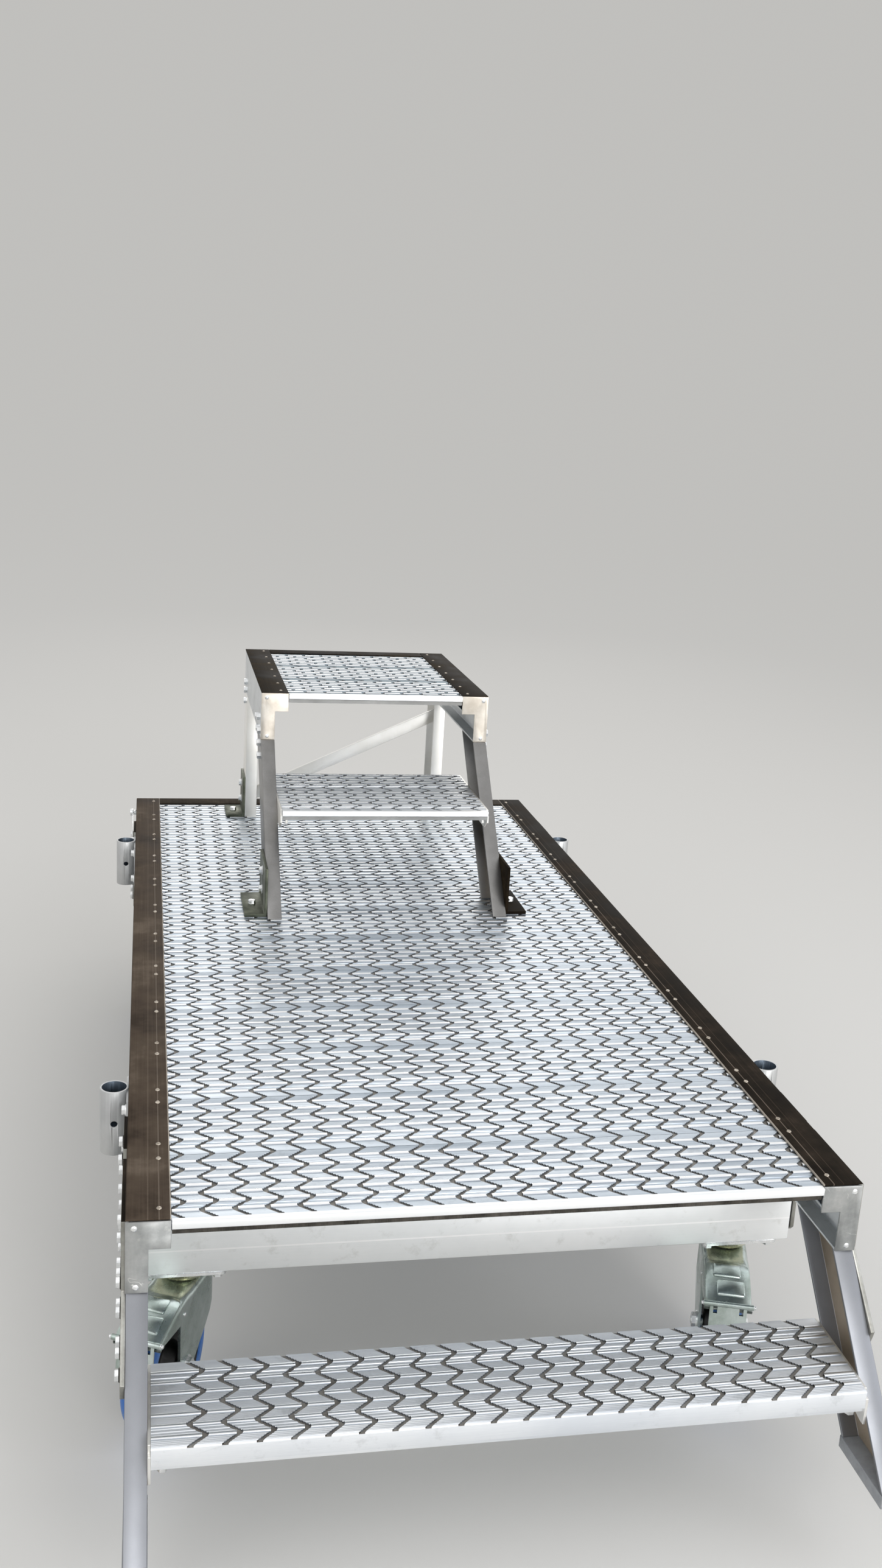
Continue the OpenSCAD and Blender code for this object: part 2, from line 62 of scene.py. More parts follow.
# %% Camera
MM = 0.001
PHOTO_HEIGHT = 2576
FOCAL_PIXELS = 2427.04
deck_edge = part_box("side_beams")[0].y
deck_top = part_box("deck_planks")[1].z
beam_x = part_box("side_beams")[1].x / MM
camera_data = bpy.data.cameras.new("camera")
camera = bpy.data.objects.new("camera", camera_data)
bpy.context.scene.collection.objects.link(camera)
bpy.context.scene.camera = camera
camera_data.sensor_width = 36
camera_data.lens = FOCAL_PIXELS * camera_data.sensor_width / PHOTO_HEIGHT
right = Vector((0.9805748, -0.18802583, 0.05585107))
down = Vector((0.00619438, -0.25491585, -0.9669434))
ahead = Vector((0.19604766, 0.9485063, -0.24879935))
stand = Vector((-0.475, deck_edge - 1.6813, deck_top + 1.008))
camera.matrix_world = Matrix((right, -down, -ahead)).transposed().to_4x4()
camera.matrix_world.translation = stand
print("camera", [round(v, 3) for v in stand])

# %% [markdown]
# A shader node is always made in the same three steps: create it, set its values, link its inputs. One small
# function does that, and a few more name the kinds used most, so each material below reads as a list of what
# feeds what. Colours are written as the hex values that a colour picker shows, and turned to the linear
# values that Blender works in.

# %% Helpers for materials
def linear(hex_code):
    values = [int(hex_code[i:i + 2], 16) / 255 for i in (1, 3, 5)]
    return (*[v / 12.92 if v <= 0.04045 else ((v + 0.055) / 1.055) ** 2.4 for v in values], 1.0)


def add(tree, kind, values=None, links=None):
    node = tree.nodes.new("ShaderNode" + kind)
    for key, value in (values or {}).items():
        if isinstance(key, str) and hasattr(node, key):
            setattr(node, key, value)
        else:
            node.inputs[key].default_value = value
    for key, socket in (links or {}).items():
        tree.links.new(socket, node.inputs[key])
    return node


def ramp(tree, source, stops):
    node = add(tree, "ValToRGB", links={0: source})
    while len(node.color_ramp.elements) < len(stops):
        node.color_ramp.elements.new(0.5)
    for element, (place, value) in zip(node.color_ramp.elements, stops):
        element.position = place
        element.color = linear(value) if isinstance(value, str) else (value, value, value, 1)
    return node.outputs[0]


def blend(tree, amount, first, second):
    """A colour between first and second; each is a hex value or another node's output."""
    node = add(tree, "Mix", {"data_type": "RGBA"}, {0: amount})
    for key, colour in ((6, first), (7, second)):
        if isinstance(colour, str):
            node.inputs[key].default_value = linear(colour)
        else:
            tree.links.new(colour, node.inputs[key])
    return node.outputs[2]


def noise(tree, place, scale, detail, roughness=0.5):
    values = {"Scale": scale, "Detail": detail, "Roughness": roughness}
    return add(tree, "TexNoise", values, {"Vector": place}).outputs[0]


def maths(tree, operation, values=None, links=None):
    return add(tree, "Math", {"operation": operation, **(values or {})}, links).outputs[0]


def new_material(name, metallic, roughness, **more):
    material = bpy.data.materials.new(name)
    material.use_nodes = True
    tree = material.node_tree
    shader = tree.nodes["Principled BSDF"]
    shader.inputs["Metallic"].default_value = metallic
    shader.inputs["Roughness"].default_value = roughness
    for key, value in more.items():
        shader.inputs[key.replace("_", " ")].default_value = value
    return material, tree, shader


def feed(tree, shader, colour, wear, span, relief, strength, depth):
    """Gives a shader its colour, its roughness and a relief of depth millimetres.

    span is (low wear, high wear, roughness at low wear, roughness at high wear).
    """
    tree.links.new(colour, shader.inputs["Base Color"])
    rough = add(tree, "MapRange", dict(enumerate(span, 1)), {0: wear}).outputs[0]
    tree.links.new(rough, shader.inputs["Roughness"])
    bump = add(tree, "Bump", {"Strength": strength, "Distance": depth * MM}, {"Height": relief}).outputs[0]
    tree.links.new(bump, shader.inputs["Normal"])


# %% [markdown]
# Metal from a mill is never even. It has fine lines along the way it was drawn, soft clouds where hands and
# weather have touched it, and a little grit. All come from noise that is stretched or cut off at real sizes.
# One function serves each bare metal, with its own colours and line direction. A plank's top also changes
# from band to band in a painted reflection, as if each band between two ridges mirrored another part of the
# room.

# %% Bare metals
# In millimetres: blotches of dirt, curls of scratches, gaps between them, half the height of a painted
# highlight along a seam. Lines of drawing are DRAWN times longer than wide.
BLOTCH, CURL, GAP, HALF_SEAM_HIGHLIGHT = 35, 26, 17, 1.2
DRAWN = 60


def metal(name, pale, deep, roughness, lines, spread, cloud=160, line=1.2, bump=0.15, streak=0.35, dirt=None,
          reflection_bands=None, scratches=None, seam_highlight=None, metallic=1.0):
    """lines is the way of drawing: X, Y or Z. cloud, line, reflection_bands (the width of the bands of a
    painted reflection) and the height of a painted highlight along a seam are in millimetres.
    """
    material, tree, shader = new_material(name, metallic, roughness)
    place = add(tree, "TexCoord").outputs["Object"]
    stretch = [1 / (line * MM)] * 3
    stretch["XYZ".index(lines)] = 1 / (DRAWN * line * MM)
    drawn = add(tree, "Mapping", {"Scale": stretch}, {"Vector": place}).outputs[0]
    streaks = noise(tree, drawn, 1, 3)
    clouds = noise(tree, place, 1 / (cloud * MM), 5, 0.6)
    # Painted reflection: the colour changes from one band between two ridges to the next.
    if reflection_bands:
        across = add(tree, "Mapping", {"Scale": (2.2, 1 / (reflection_bands * MM), 0)}, {"Vector": place}).outputs[0]
        wide = noise(tree, across, 1, 1)
        clouds = add(tree, "Mix", {0: 0.6}, {2: clouds, 3: wide}).outputs[0]
    both = maths(tree, "MULTIPLY_ADD", {1: streak}, {0: streaks, 2: clouds})
    low, high = 0.34 + 0.5 * streak, 0.66 + 0.5 * streak
    colour = ramp(tree, both, [(low, deep), (high, pale)])
    if dirt:
        specks = noise(tree, place, 1 / (BLOTCH * MM), 8, 0.72)
        colour = blend(tree, ramp(tree, specks, [(0.56, 0.0), (0.74, 0.6)]), colour, dirt)
    if scratches:
        # Where a smooth noise crosses its middle value it draws thin curves; a second noise keeps a few.
        curves = noise(tree, place, 1 / (CURL * MM), 2)
        thin = ramp(tree, curves, [(0.494, 0.0), (0.499, 1.0), (0.501, 1.0), (0.506, 0.0)])
        few = ramp(tree, noise(tree, place, 1 / (GAP * MM), 0), [(0.66, 0.0), (0.72, 0.7)])
        colour = blend(tree, maths(tree, "MULTIPLY", links={0: thin, 1: few}), colour, scratches)
    # A painted highlight: a white line of the given height along a seam, in place of the light it catches.
    if seam_highlight:
        height = add(tree, "SeparateXYZ", links={0: place}).outputs[2]
        on_seam_highlight = maths(tree, "COMPARE", {1: seam_highlight * MM, 2: HALF_SEAM_HIGHLIGHT * MM}, {0: height})
        colour = blend(tree, on_seam_highlight, colour, "#ffffff")
    feed(tree, shader, colour, both, (low, high, roughness + spread, roughness - spread), streaks, bump, 0.15)
    return material


# Extruded aluminium with its mill finish: bright, bluish, a little streaked along the profile.
plank_aluminium = metal("mill aluminium planks", "#d3dbe3", "#acb6c0", 0.44, "X", 0.06, line=1.0, streak=0.15,
                        cloud=320, reflection_bands=19, dirt="#9fa6ae")
# Painted light: the treads are painted paler than the planks, for the light that the deck and the podium keep
# from them.
tread_painted_light = metal("aluminium tread painted lighter", "#f6f8fa", "#d6dadf", 0.54, "X", 0.06, line=1.0, streak=0.15,
                        cloud=200, reflection_bands=19, dirt="#bcbfc1")
# Painted shade: the podium's planks are painted darker than the deck's, a darker reflection put into their
# colour.
podium_painted_shade = metal("dull aluminium podium planks painted darker", "#a0acb4", "#7c888f", 0.58, "X", 0.06, line=1.0,
                     streak=0.15, cloud=200, reflection_bands=19, dirt="#8b959b")
# Boots keep the ridges bright, and their tops are painted brighter still as a painted highlight. Beside them,
# and on the teeth's tips, the metal is painted darker: some dust, and a painted half shade.
rubbed_highlight_metal = metal("rubbed aluminium ridges with painted highlight", "#fcfdfd", "#eff1f3", 0.30, "X", 0.05, line=1.0, streak=0.1)
# Painted light: the lip is painted whiter than the planks it belongs to, as its lit edge looks.
nose_painted_light = metal("smooth aluminium lip painted white", "#ffffff", "#eff2f4", 0.46, "X", 0.05, cloud=120, line=0.8,
                       streak=0.12, scratches="#ffffff")
# Painted half shade, with some dust: the flanks of the ridges and the tips of the teeth.
dust_half_shade_metal = metal("dust and painted half shade on aluminium", "#9ba1a8", "#80868d", 0.50, "X", 0.05, line=1.0, streak=0.1)
beam_aluminium = metal("mill aluminium beams", "#dfe1e2", "#c9cccd", 0.42, "Y", 0.06, streak=0.15,
                       dirt="#a9a59d")
# Painted light: the cross beams are painted paler than the side beams, for the light that the deck keeps from
# them; a white painted highlight runs along a seam.
cross_painted_light = metal("mill aluminium cross beams painted lighter", "#fafbfb", "#eceeee", 0.5, "X", 0.05, streak=0.1,
                        cloud=240, dirt="#d0d0cc", seam_highlight=deck_top / MM - 164)
# Anodised aluminium: the oxide takes the shine down to an even satin with a cool tint.
stringer_aluminium = metal("anodised aluminium stringers", "#94969b", "#85878b", 0.46, "Z", 0.04, streak=0.08,
                           cloud=260, bump=0.05)
podium_aluminium = metal("anodised aluminium podium sides", "#969594", "#797876", 0.40, "Z", 0.05, streak=0.2)
# The upright walls inside the channels are painted light brown, a painted reflection of a brown floor, and
# their metallic value is halved so that this colour shows.
web_painted_reflection = metal("channel wall with a painted brown reflection", "#b9ab98", "#a09280", 0.5, "Z", 0.05, cloud=120, streak=0.12,
                      metallic=0.5)
corner_aluminium = metal("smudged podium corner sheet", "#ece5da", "#cfc6b9", 0.5, "Z", 0.05, cloud=45,
                         line=2.5, streak=0.08, bump=0.06, dirt="#f6f2ea")
upright_aluminium = metal("anodised aluminium uprights", "#f6f5f2", "#e9e7e1", 0.48, "Z", 0.04, streak=0.1)
# Plain sheet, matt and blotchy, with a few bright scratches where it has been knocked.
sheet_aluminium = metal("smudged aluminium sheet", "#babbba", "#9b9d9c", 0.55, "Z", 0.08, cloud=38, line=3,
                        bump=0.08, streak=0.06, dirt="#dcdad4", scratches="#fbfbf8")
tube_aluminium = metal("drawn aluminium tube", "#d4d5d4", "#bcbdbe", 0.50, "Z", 0.05, streak=0.15)
bore_aluminium = metal("shaded tube bore", "#6f7a86", "#4d5660", 0.5, "Z", 0.06, cloud=30, streak=0.2)
# Steel under zinc: the tie plates are greenish grey, the pressed forks bluish and shinier, and the bowl over
# them still has the yellow of its chromate coat, painted paler than that metal: painted light on a shaded
# bowl.
zinc_steel = metal("zinc plated steel plates", "#b0b0aa", "#8b8a84", 0.42, "Z", 0.08, cloud=45, line=2.5,
                   streak=0.15, dirt="#7d776b")
fork_steel = metal("zinc plated pressed forks", "#c9d3d1", "#9ca9a1", 0.27, "Z", 0.07, cloud=60, line=2.0,
                   streak=0.1, bump=0.05, dirt="#80867f")
bowl_painted_light = metal("yellow zinc bearing bowls painted lighter", "#f4f0da", "#cfc9aa", 0.26, "Z", 0.05, cloud=30, streak=0.1,
                   bump=0.04)
dark_zinc = metal("dull zinc podium feet", "#6e7264", "#4b4f45", 0.48, "Z", 0.08, cloud=40, streak=0.15,
                  dirt="#45443d")
bright_zinc = metal("bright zinc fasteners", "#f9fafa", "#dddfe0", 0.28, "Z", 0.06, cloud=12, streak=0.1)
rivet_metal = metal("dull rivet heads", "#c4bbae", "#8d8478", 0.36, "Z", 0.06, cloud=9, streak=0.1)
# The floor and the walls of a groove are bare cut metal that has filled with dust; the walls are also painted
# much darker, a painted shade.
groove_metal = metal("dusty groove floor", "#a19e98", "#78746e", 0.65, "X", 0.06, cloud=25, bump=0.4,
                     metallic=0.5)
lip_shade = metal("shaded aluminium under a lip", "#a8a8a6", "#8c8c8a", 0.55, "X", 0.05, streak=0.1)
groove_wall = metal("shaded groove wall", "#625e58", "#42403c", 0.6, "Z", 0.06, cloud=25, bump=0.2)
print("metals", len(bpy.data.materials))

# %% [markdown]
# The trims are steel with a thin brown-black coat that has no metal's shine of its own, and their tones are
# darkened further into a painted reflection of dark surroundings. Boots have rubbed fine streaks along it,
# its inner edge is worn to bare steel, and a line was scribed through the rivets before they were set. Each
# of these is a mask made from the distance to the middle of the deck.

# %% Coated trims
# The scribed line and a fainter one beside it, and the worn inner edge, with half their widths in millimetres
SCRIBED_TONE, BARE_TONE = "#6c6258", "#a9a196"
SCRIBED_HALF, FAINT_HALF, BARE_HALF, FAINT_OFF = 0.7, 0.45, 1.4, 14


def coated(name, tones, bare_edge=None, scribed=None):
    """tones run from dark to light; bare_edge and scribed are distances from X = 0 in millimetres."""
    material, tree, shader = new_material(name, 0.0, 0.5, Specular_IOR_Level=0.015)
    place = add(tree, "TexCoord").outputs["Object"]
    along = add(tree, "Mapping", {"Scale": (420, 5, 420)}, {"Vector": place}).outputs[0]
    streaks = noise(tree, along, 1, 4)
    stains = noise(tree, place, 9, 7, 0.6)
    both = maths(tree, "MULTIPLY_ADD", {1: 0.2}, {0: streaks, 2: stains})
    colour = ramp(tree, both, [(0.42, tones[0]), (0.56, tones[1]), (0.66, tones[2]), (0.80, tones[3])])
    out = maths(tree, "ABSOLUTE", links={0: add(tree, "SeparateXYZ", links={0: place}).outputs[0]})
    for at, width, tone in ((scribed, SCRIBED_HALF, SCRIBED_TONE),
                            (scribed and scribed + FAINT_OFF, FAINT_HALF, tones[3]),
                            (bare_edge, BARE_HALF, BARE_TONE)):
        if at:
            line = maths(tree, "COMPARE", {1: at * MM, 2: width * MM}, {0: out})
            strength = ramp(tree, stains, [(0.32, 0.5), (0.5, 1.0)])
            colour = blend(tree, maths(tree, "MULTIPLY", links={0: line, 1: strength}), colour, tone)
    feed(tree, shader, colour, stains, (0.4, 0.7, 0.5, 0.7), streaks, 0.15, 0.2)
    return material


TRIM_WIDTH = 56.0
TRIM_THICK = (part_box("trim_left")[1].z - deck_top) / MM
RIVET_LINE = beam_x - 41
trim_inner = beam_x - TRIM_WIDTH
# Each trim's tones are a painted reflection of dark surroundings, lighter or darker from trim to trim.
left_coat_reflection = coated("brown coat with painted reflection, left", ["#372f28", "#4a4037", "#52483e", "#685d52"],
                    trim_inner, RIVET_LINE)
right_coat_and_shade = coated("brown-black coat with painted reflection and shade, right", ["#191512", "#221e19", "#2d2721", "#413830"],
                     trim_inner, RIVET_LINE)
rear_coat_reflection = coated("grey-brown coat with painted reflection, rear", ["#2b2621", "#38322b", "#443d35", "#5a5248"])
podium_coat_reflection = coated("black coat with painted reflection, podium", ["#120f0c", "#1b1611", "#251f17", "#383024"])
print("coats", len(bpy.data.materials))

# %% [markdown]
# The tyres are a blue elastic rubber band on a black moulded centre. Rubber has no metal and an IOR near 1.5.
# Dust from the floor dulls it, so its colour follows a fine noise.

# %% Rubber and plastics
# Size of the patches of dust on rubber and plastic, in millimetres
DUST = 22


def moulded(name, clean, dusty, roughness, grain, sheen=0.0):
    material, tree, shader = new_material(name, 0.0, roughness, IOR=1.5, Sheen_Weight=sheen)
    place = add(tree, "TexCoord").outputs["Object"]
    dust = noise(tree, place, 1 / (DUST * MM), 8, 0.68)
    skin = noise(tree, place, 1 / (grain * MM), 3)
    colour = ramp(tree, dust, [(0.42, clean), (0.78, dusty)])
    feed(tree, shader, colour, dust, (0.4, 0.75, roughness, roughness + 0.15), skin, 0.25, 0.1)
    return material


tyre_rubber = moulded("blue elastic rubber", "#2f68b4", "#5f82ab", 0.5, 1.5, sheen=0.1)
hub_plastic = moulded("black moulded polyamide", "#131314", "#2c2b29", 0.48, 1.0)
foot_plastic = moulded("grey moulded feet", "#9b9ea2", "#85878a", 0.5, 1.2)
print("finishes", len(bpy.data.materials))

# %% [markdown]
# The studio: a wide pale floor, a world of the same pale tone, and four large soft lamps. The world gives
# every direction the same light, so a colour renders about as it is written; the lamps add the shadows and
# the highlights that show a form. The camera sees the world in the tone that the floor has far away, so the
# horizon is hard to see. The lamps in front and behind stand low, and a narrow spread keeps their light off
# the floor beside them.

# %% Floor, world and lamps
FLOOR_TONE = "#dcdbd8"
DAYLIGHT = 0.74
MIRRORED_DAYLIGHT = 0.95
floor_mesh = bpy.data.meshes.new("floor")
HALF_FLOOR = 60.0
floor_mesh.from_pydata([(x * HALF_FLOOR, y * HALF_FLOOR, 0) for x, y in ((-1, -1), (1, -1), (1, 1), (-1, 1))],
                       [], [(0, 1, 2, 3)])
floor = bpy.data.objects.new("floor", floor_mesh)
bpy.context.scene.collection.objects.link(floor)
floor_material, _, floor_shader = new_material("plain pale floor", 0.0, 0.8, Specular_IOR_Level=0.0)
floor_shader.inputs["Base Color"].default_value = linear(FLOOR_TONE)
floor_mesh.materials.append(floor_material)

world = bpy.data.worlds.new("studio")
bpy.context.scene.world = world
world.use_nodes = True
tree = world.node_tree
rays = add(tree, "LightPath")
mirrored = maths(tree, "MAXIMUM", links={0: rays.outputs["Is Glossy Ray"],
                                         1: rays.outputs["Is Transmission Ray"]})
background = tree.nodes["Background"]
seen_tone = blend(tree, rays.outputs["Is Camera Ray"], "#ffffff", FLOOR_TONE)
tree.links.new(seen_tone, background.inputs["Color"])
strength = add(tree, "MapRange", {3: DAYLIGHT, 4: MIRRORED_DAYLIGHT}, {0: mirrored}).outputs[0]
tree.links.new(strength, background.inputs["Strength"])


def soft_lamp(name, place, target, size, watts, colour, spread=180):
    """place, target and size are in metres, spread in degrees."""
    lamp = bpy.data.lights.new(name, "AREA")
    lamp.size = size
    lamp.energy = watts
    lamp.color = linear(colour)[:3]
    lamp.spread = math.radians(spread)
    holder = bpy.data.objects.new(name, lamp)
    bpy.context.scene.collection.objects.link(holder)
    holder.location = place
    holder.rotation_euler = (Vector(target) - Vector(place)).to_track_quat("-Z", "Y").to_euler()


soft_lamp("key", (-3.4, -3.2, 4.2), (0, 0, 0.3), 4.5, 40, "#ffffff")
soft_lamp("fill", (4.2, -2.0, 3.0), (0, 0, 0.3), 3.0, 44, "#f4f7ff")
soft_lamp("back", (1.4, 8.2, 3.7), (0, 0.2, 0.4), 3.6, 12, "#fffaf3", 70)
soft_lamp("front", (1.6, -6.6, 2.3), (0, 0, 0.35), 3.2, 34, "#ffffff", 70)
bpy.context.scene.view_settings.view_transform = "Standard"
print("lamps", len(bpy.data.lights))

# %% [markdown]
# Real edges are never sharp: a press or a saw leaves a small round that catches the light as a bright line.
# The CAD solids are exact, so each shown one is copied here, its flat faces are joined again and its outer
# edges get that round from the Bevel modifier. The copy stands for the CAD node and rides on the same body.
# Where a node holds bolts as well as plates, a rule on the place of a face gives the bolts their own metal.

# %% Helpers for pieces
def place_piece(name, mesh, body, nodes=()):
    piece = bpy.data.objects.new(name, mesh)
    bpy.context.scene.collection.objects.link(piece)
    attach(piece, body)
    if nodes:
        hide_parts(*nodes)
    return piece


def solid_mesh(name, points, faces, materials, finish=None, smooth_below=40):
    """A mesh from points in millimetres, with outward normals and shading smooth across soft edges only."""
    mesh = bpy.data.meshes.new(name)
    mesh.from_pydata([(x * MM, y * MM, z * MM) for x, y, z in points], [], faces)
    for material in materials:
        mesh.materials.append(material)
    if finish:
        mesh.polygons.foreach_set("material_index", finish)
    form = bmesh.new()
    form.from_mesh(mesh)
    bmesh.ops.recalc_face_normals(form, faces=form.faces)
    form.to_mesh(mesh)
    form.free()
    mesh.polygons.foreach_set("use_smooth", [True] * len(mesh.polygons))
    mesh.set_sharp_from_angle(angle=math.radians(smooth_below))
    return mesh


def round_edges(piece, radius):
    edge_round = piece.modifiers.new("edge round", "BEVEL")
    edge_round.width = radius * MM
    edge_round.segments = 2
    edge_round.limit_method = "ANGLE"
    edge_round.angle_limit = math.radians(32)
    edge_round.use_clamp_overlap = False
    edge_round.harden_normals = True


def joined(points, faces, loops):
    """Adds loops of equal length to a mesh as one closed skin."""
    start, count = len(points), len(loops[0])
    for loop in loops:
        points += loop
    for k in range(len(loops) - 1):
        base = start + k * count
        for c in range(count):
            d = (c + 1) % count
            faces.append((base + c, base + d, base + count + d, base + count + c))
    faces.append([start + c for c in range(count)][::-1])
    faces.append([start + (len(loops) - 1) * count + c for c in range(count)])


def circle(radius, sides):
    turns = [2 * math.pi * k / sides for k in range(sides)]
    return [(radius * math.cos(a), radius * math.sin(a)) for a in turns]


def eased(node, material, radius=0.9, others=(), which=None):
    """A shown copy of a CAD solid with a round of radius millimetres.

    which(x, y, z) gives 0 for faces of the first material, or the place of another one among others plus 1.
    """
    mesh = frame["nodes"][node].data.copy()
    mesh.materials.clear()
    form = bmesh.new()
    form.from_mesh(mesh)
    bmesh.ops.remove_doubles(form, verts=form.verts, dist=0.01 * MM)
    bmesh.ops.dissolve_limit(form, angle_limit=math.radians(0.4), verts=form.verts, edges=form.edges)
    for face in form.faces:
        face.smooth = True
        face.material_index = int(which(*(face.calc_center_median() / MM))) if which else 0
    form.to_mesh(mesh)
    form.free()
    for each in (material, *others):
        mesh.materials.append(each)
    piece = place_piece(node + "_shown", mesh, body_of[node], [node])
    round_edges(piece, radius)
    return piece


# %% Finishes of the CAD solids
plain_pieces = {
    "side_beams": beam_aluminium, "rear_beam": cross_painted_light, "castor_beams": cross_painted_light,
    "mid_beams": beam_aluminium, "stringer_feet": foot_plastic, "lock_pin": bright_zinc,
    "podium_beams": beam_aluminium, "podium_rear": cross_painted_light,
    "podium_legs": upright_aluminium, "podium_brace": upright_aluminium,
    "trim_left": left_coat_reflection, "trim_right": right_coat_and_shade, "trim_rear": rear_coat_reflection}
for node, material in plain_pieces.items():
    eased(node, material)
for node, material in (("stringers", stringer_aluminium), ("podium_stringers", podium_aluminium)):
    lo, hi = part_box(node)
    middle, half = (lo.x + hi.x) / 2 / MM, (hi.x - lo.x) / 2 / MM
    # Faces near the walls inside the channels take the painted brown reflection.
    eased(node, material, 0.9, [web_painted_reflection], lambda x, y, z, m=middle, h=half: h - 6 < abs(x - m) < h - 3)
# The podium's trims lie a rivet's height lower than in the CAD model, so that the rivets stay in its box.
SUNK = 1.6
eased("podium_trims", podium_coat_reflection).matrix_world = Matrix.Translation((0, 0, -SUNK * MM))
CORNERS = ("lf", "rf", "lr", "rr")
for corner in CORNERS:
    eased("tyre_" + corner, tyre_rubber, 1.2)
    eased("hub_" + corner, hub_plastic)

PLATE_FACE = beam_x + 6.3
podium_lo, podium_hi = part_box("podium_beams")
podium_face = podium_hi.x / MM
podium_middle = (podium_lo.x / MM + podium_face) / 2


def on_side_plate(x, y, z):
    """1 for bolt heads, 2 for their washers and for the plate's upper edge, which are painted dark: painted
    shade.
    """
    if abs(x) > PLATE_FACE + 1.4:
        return 1
    return 2 if z > deck_top / MM - 3 or abs(x) > PLATE_FACE else 0


# The washers and the plates' upper edges take the right trim's dark coat as a painted shade.
for node in ("gussets", "beam_ties"):
    eased(node, zinc_steel, 0.9, [bright_zinc, right_coat_and_shade], on_side_plate)
# The podium's feet have a row of bolts near each end; the right front foot is coated like the podium's trims.
FROM_FRONT, FROM_REAR = 68.5, 45.5
lo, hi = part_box("podium_feet")
foot_rows = (lo.y / MM + FROM_FRONT, hi.y / MM - FROM_REAR)


def on_foot(x, y, z):
    near = min(abs(y - row) for row in foot_rows) < 9.6
    if near and abs(x - podium_middle) > podium_face - podium_middle + 6.3 and z > deck_top / MM + 6.3:
        return 1
    return 2 if x > podium_middle and y < foot_rows[0] + 80 else 0


eased("podium_feet", dark_zinc, 0.9, [bright_zinc, podium_coat_reflection], on_foot)
for node, material, edge in (("corner_plates", sheet_aluminium, deck_edge),
                             ("podium_corners", corner_aluminium, podium_lo.y)):
    eased(node, material, 0.6, [bright_zinc], lambda x, y, z, edge=edge: y < edge / MM - 3.2)


# A socket's axis from the beam, and limits just outside the tube, the back plate and the bore
AXIS_OUT, TUBE_LIMIT, BACK_LIMIT, BORE_LIMIT = 22.2, 22.5, 4.3, 18.6


def on_socket(middle, foot, head):
    """The rule for one socket: 1 for its bolts, 2 for the inside of its tube."""
    def rule(x, y, z):
        if abs(y - middle) > TUBE_LIMIT and abs(x) > beam_x + BACK_LIMIT:
            return 1
        from_axis = math.hypot(abs(x) - (beam_x + AXIS_OUT), y - middle)
        return 2 if from_axis < BORE_LIMIT and foot < z < head else 0
    return rule


for side in ("left", "right"):
    for end in ("front", "rear"):
        lo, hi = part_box(f"socket_{side}_{end}")
        rule = on_socket((lo.y + hi.y) / 2 / MM, lo.z / MM + 1, hi.z / MM - 1)
        eased(f"socket_{side}_{end}", tube_aluminium, 0.7, [bright_zinc, bore_aluminium], rule)

# %% [markdown]
# The trims are held by dome-headed rivets, in pairs near the seam of two planks. A dome is four rings of
# points with a small flat on top. The rivets of the deck share one mesh, and those of the podium another.

# %% Rivets
def domes(name, places, radius, height):
    points, faces = [], []
    for x, y, z in places:
        loops = []
        for turn in (0, 25, 50, 72):
            r, up = radius * math.cos(math.radians(turn)), height * math.sin(math.radians(turn))
            loops.append([(x + u, y + v, z + up) for u, v in circle(r, 12)])
        joined(points, faces, loops)
    place_piece(name, solid_mesh(name, points, faces, [rivet_metal], smooth_below=60), "frame")


PITCH = 164.5
# From the front edge: the first rivet and the middle of the first pair. Half the distance between a pair.
FIRST_RIVET, FIRST_PAIR, HALF_PAIR = 24, 171.4, 20
front, top = deck_edge / MM, deck_top / MM + TRIM_THICK
pairs = [front + FIRST_PAIR + PITCH * k for k in range(11)]
rows = [front + FIRST_RIVET] + [y + step for y in pairs for step in (-HALF_PAIR, HALF_PAIR)]
rows.append(pairs[-1] + PITCH - HALF_PAIR)
domes("trim_rivets", [(side * RIVET_LINE, y, top - 0.2) for side in (-1, 1) for y in rows], 3.8, 2.2)
# The podium's rivets stand singly: the first one's distance from the front, the step, and that from the side.
PODIUM_FIRST, PODIUM_STEP, FROM_SIDE = 22, 82, 42
lo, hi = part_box("podium_trims")
podium_rows = [lo.y / MM + PODIUM_FIRST + k * PODIUM_STEP for k in range(7)]
rivet_x = (hi.x - lo.x) / 2 / MM - FROM_SIDE
domes("podium_rivets", [(podium_middle + side * rivet_x, y, hi.z / MM - SUNK - 0.1) for side in (-1, 1)
                        for y in podium_rows], 3.2, 1.65)
print("rivets", 2 * len(rows) + 2 * len(podium_rows))

# %% [markdown]
# A plank is an aluminium extrusion with seven rounded ridges along its length and finer ribs between them. A
# cutter has run zigzag grooves across it, straight over each ridge and slanted between, and left teeth along
# one edge of them. A texture would lie flat, so the top is a mesh: rows follow the section across the plank,
# and each row has a point on both sides of every groove.

# %% Plank sizes
DEPTH = PITCH - 0.6
CELL = PITCH / 8
TOOTH_PITCH = CELL / 7
RIDGE_HEIGHT = 1.5
# (distance from a ridge's middle, drop below its top)
RIDGE_ROWS = ((0.35, 0.0), (2.2, 0.05), (2.9, 0.6), (3.5, 1.5))
GROOVE_PITCH = 41.7
GROOVE_SWING = 18.6
GROOVE_WIDTH = 8.0
STRAIGHT = 2.2
TOOTH_DEPTH = 0.85
GROOVE_DEPTH = 3.6
PLANK_HEIGHT = 35.0
NOSE_HEIGHT = 11.0
JOINT_HEIGHT = 9.0
LIP_REACH = 8.2
TONGUE = 80.0
SLOT_BACK = 6.0
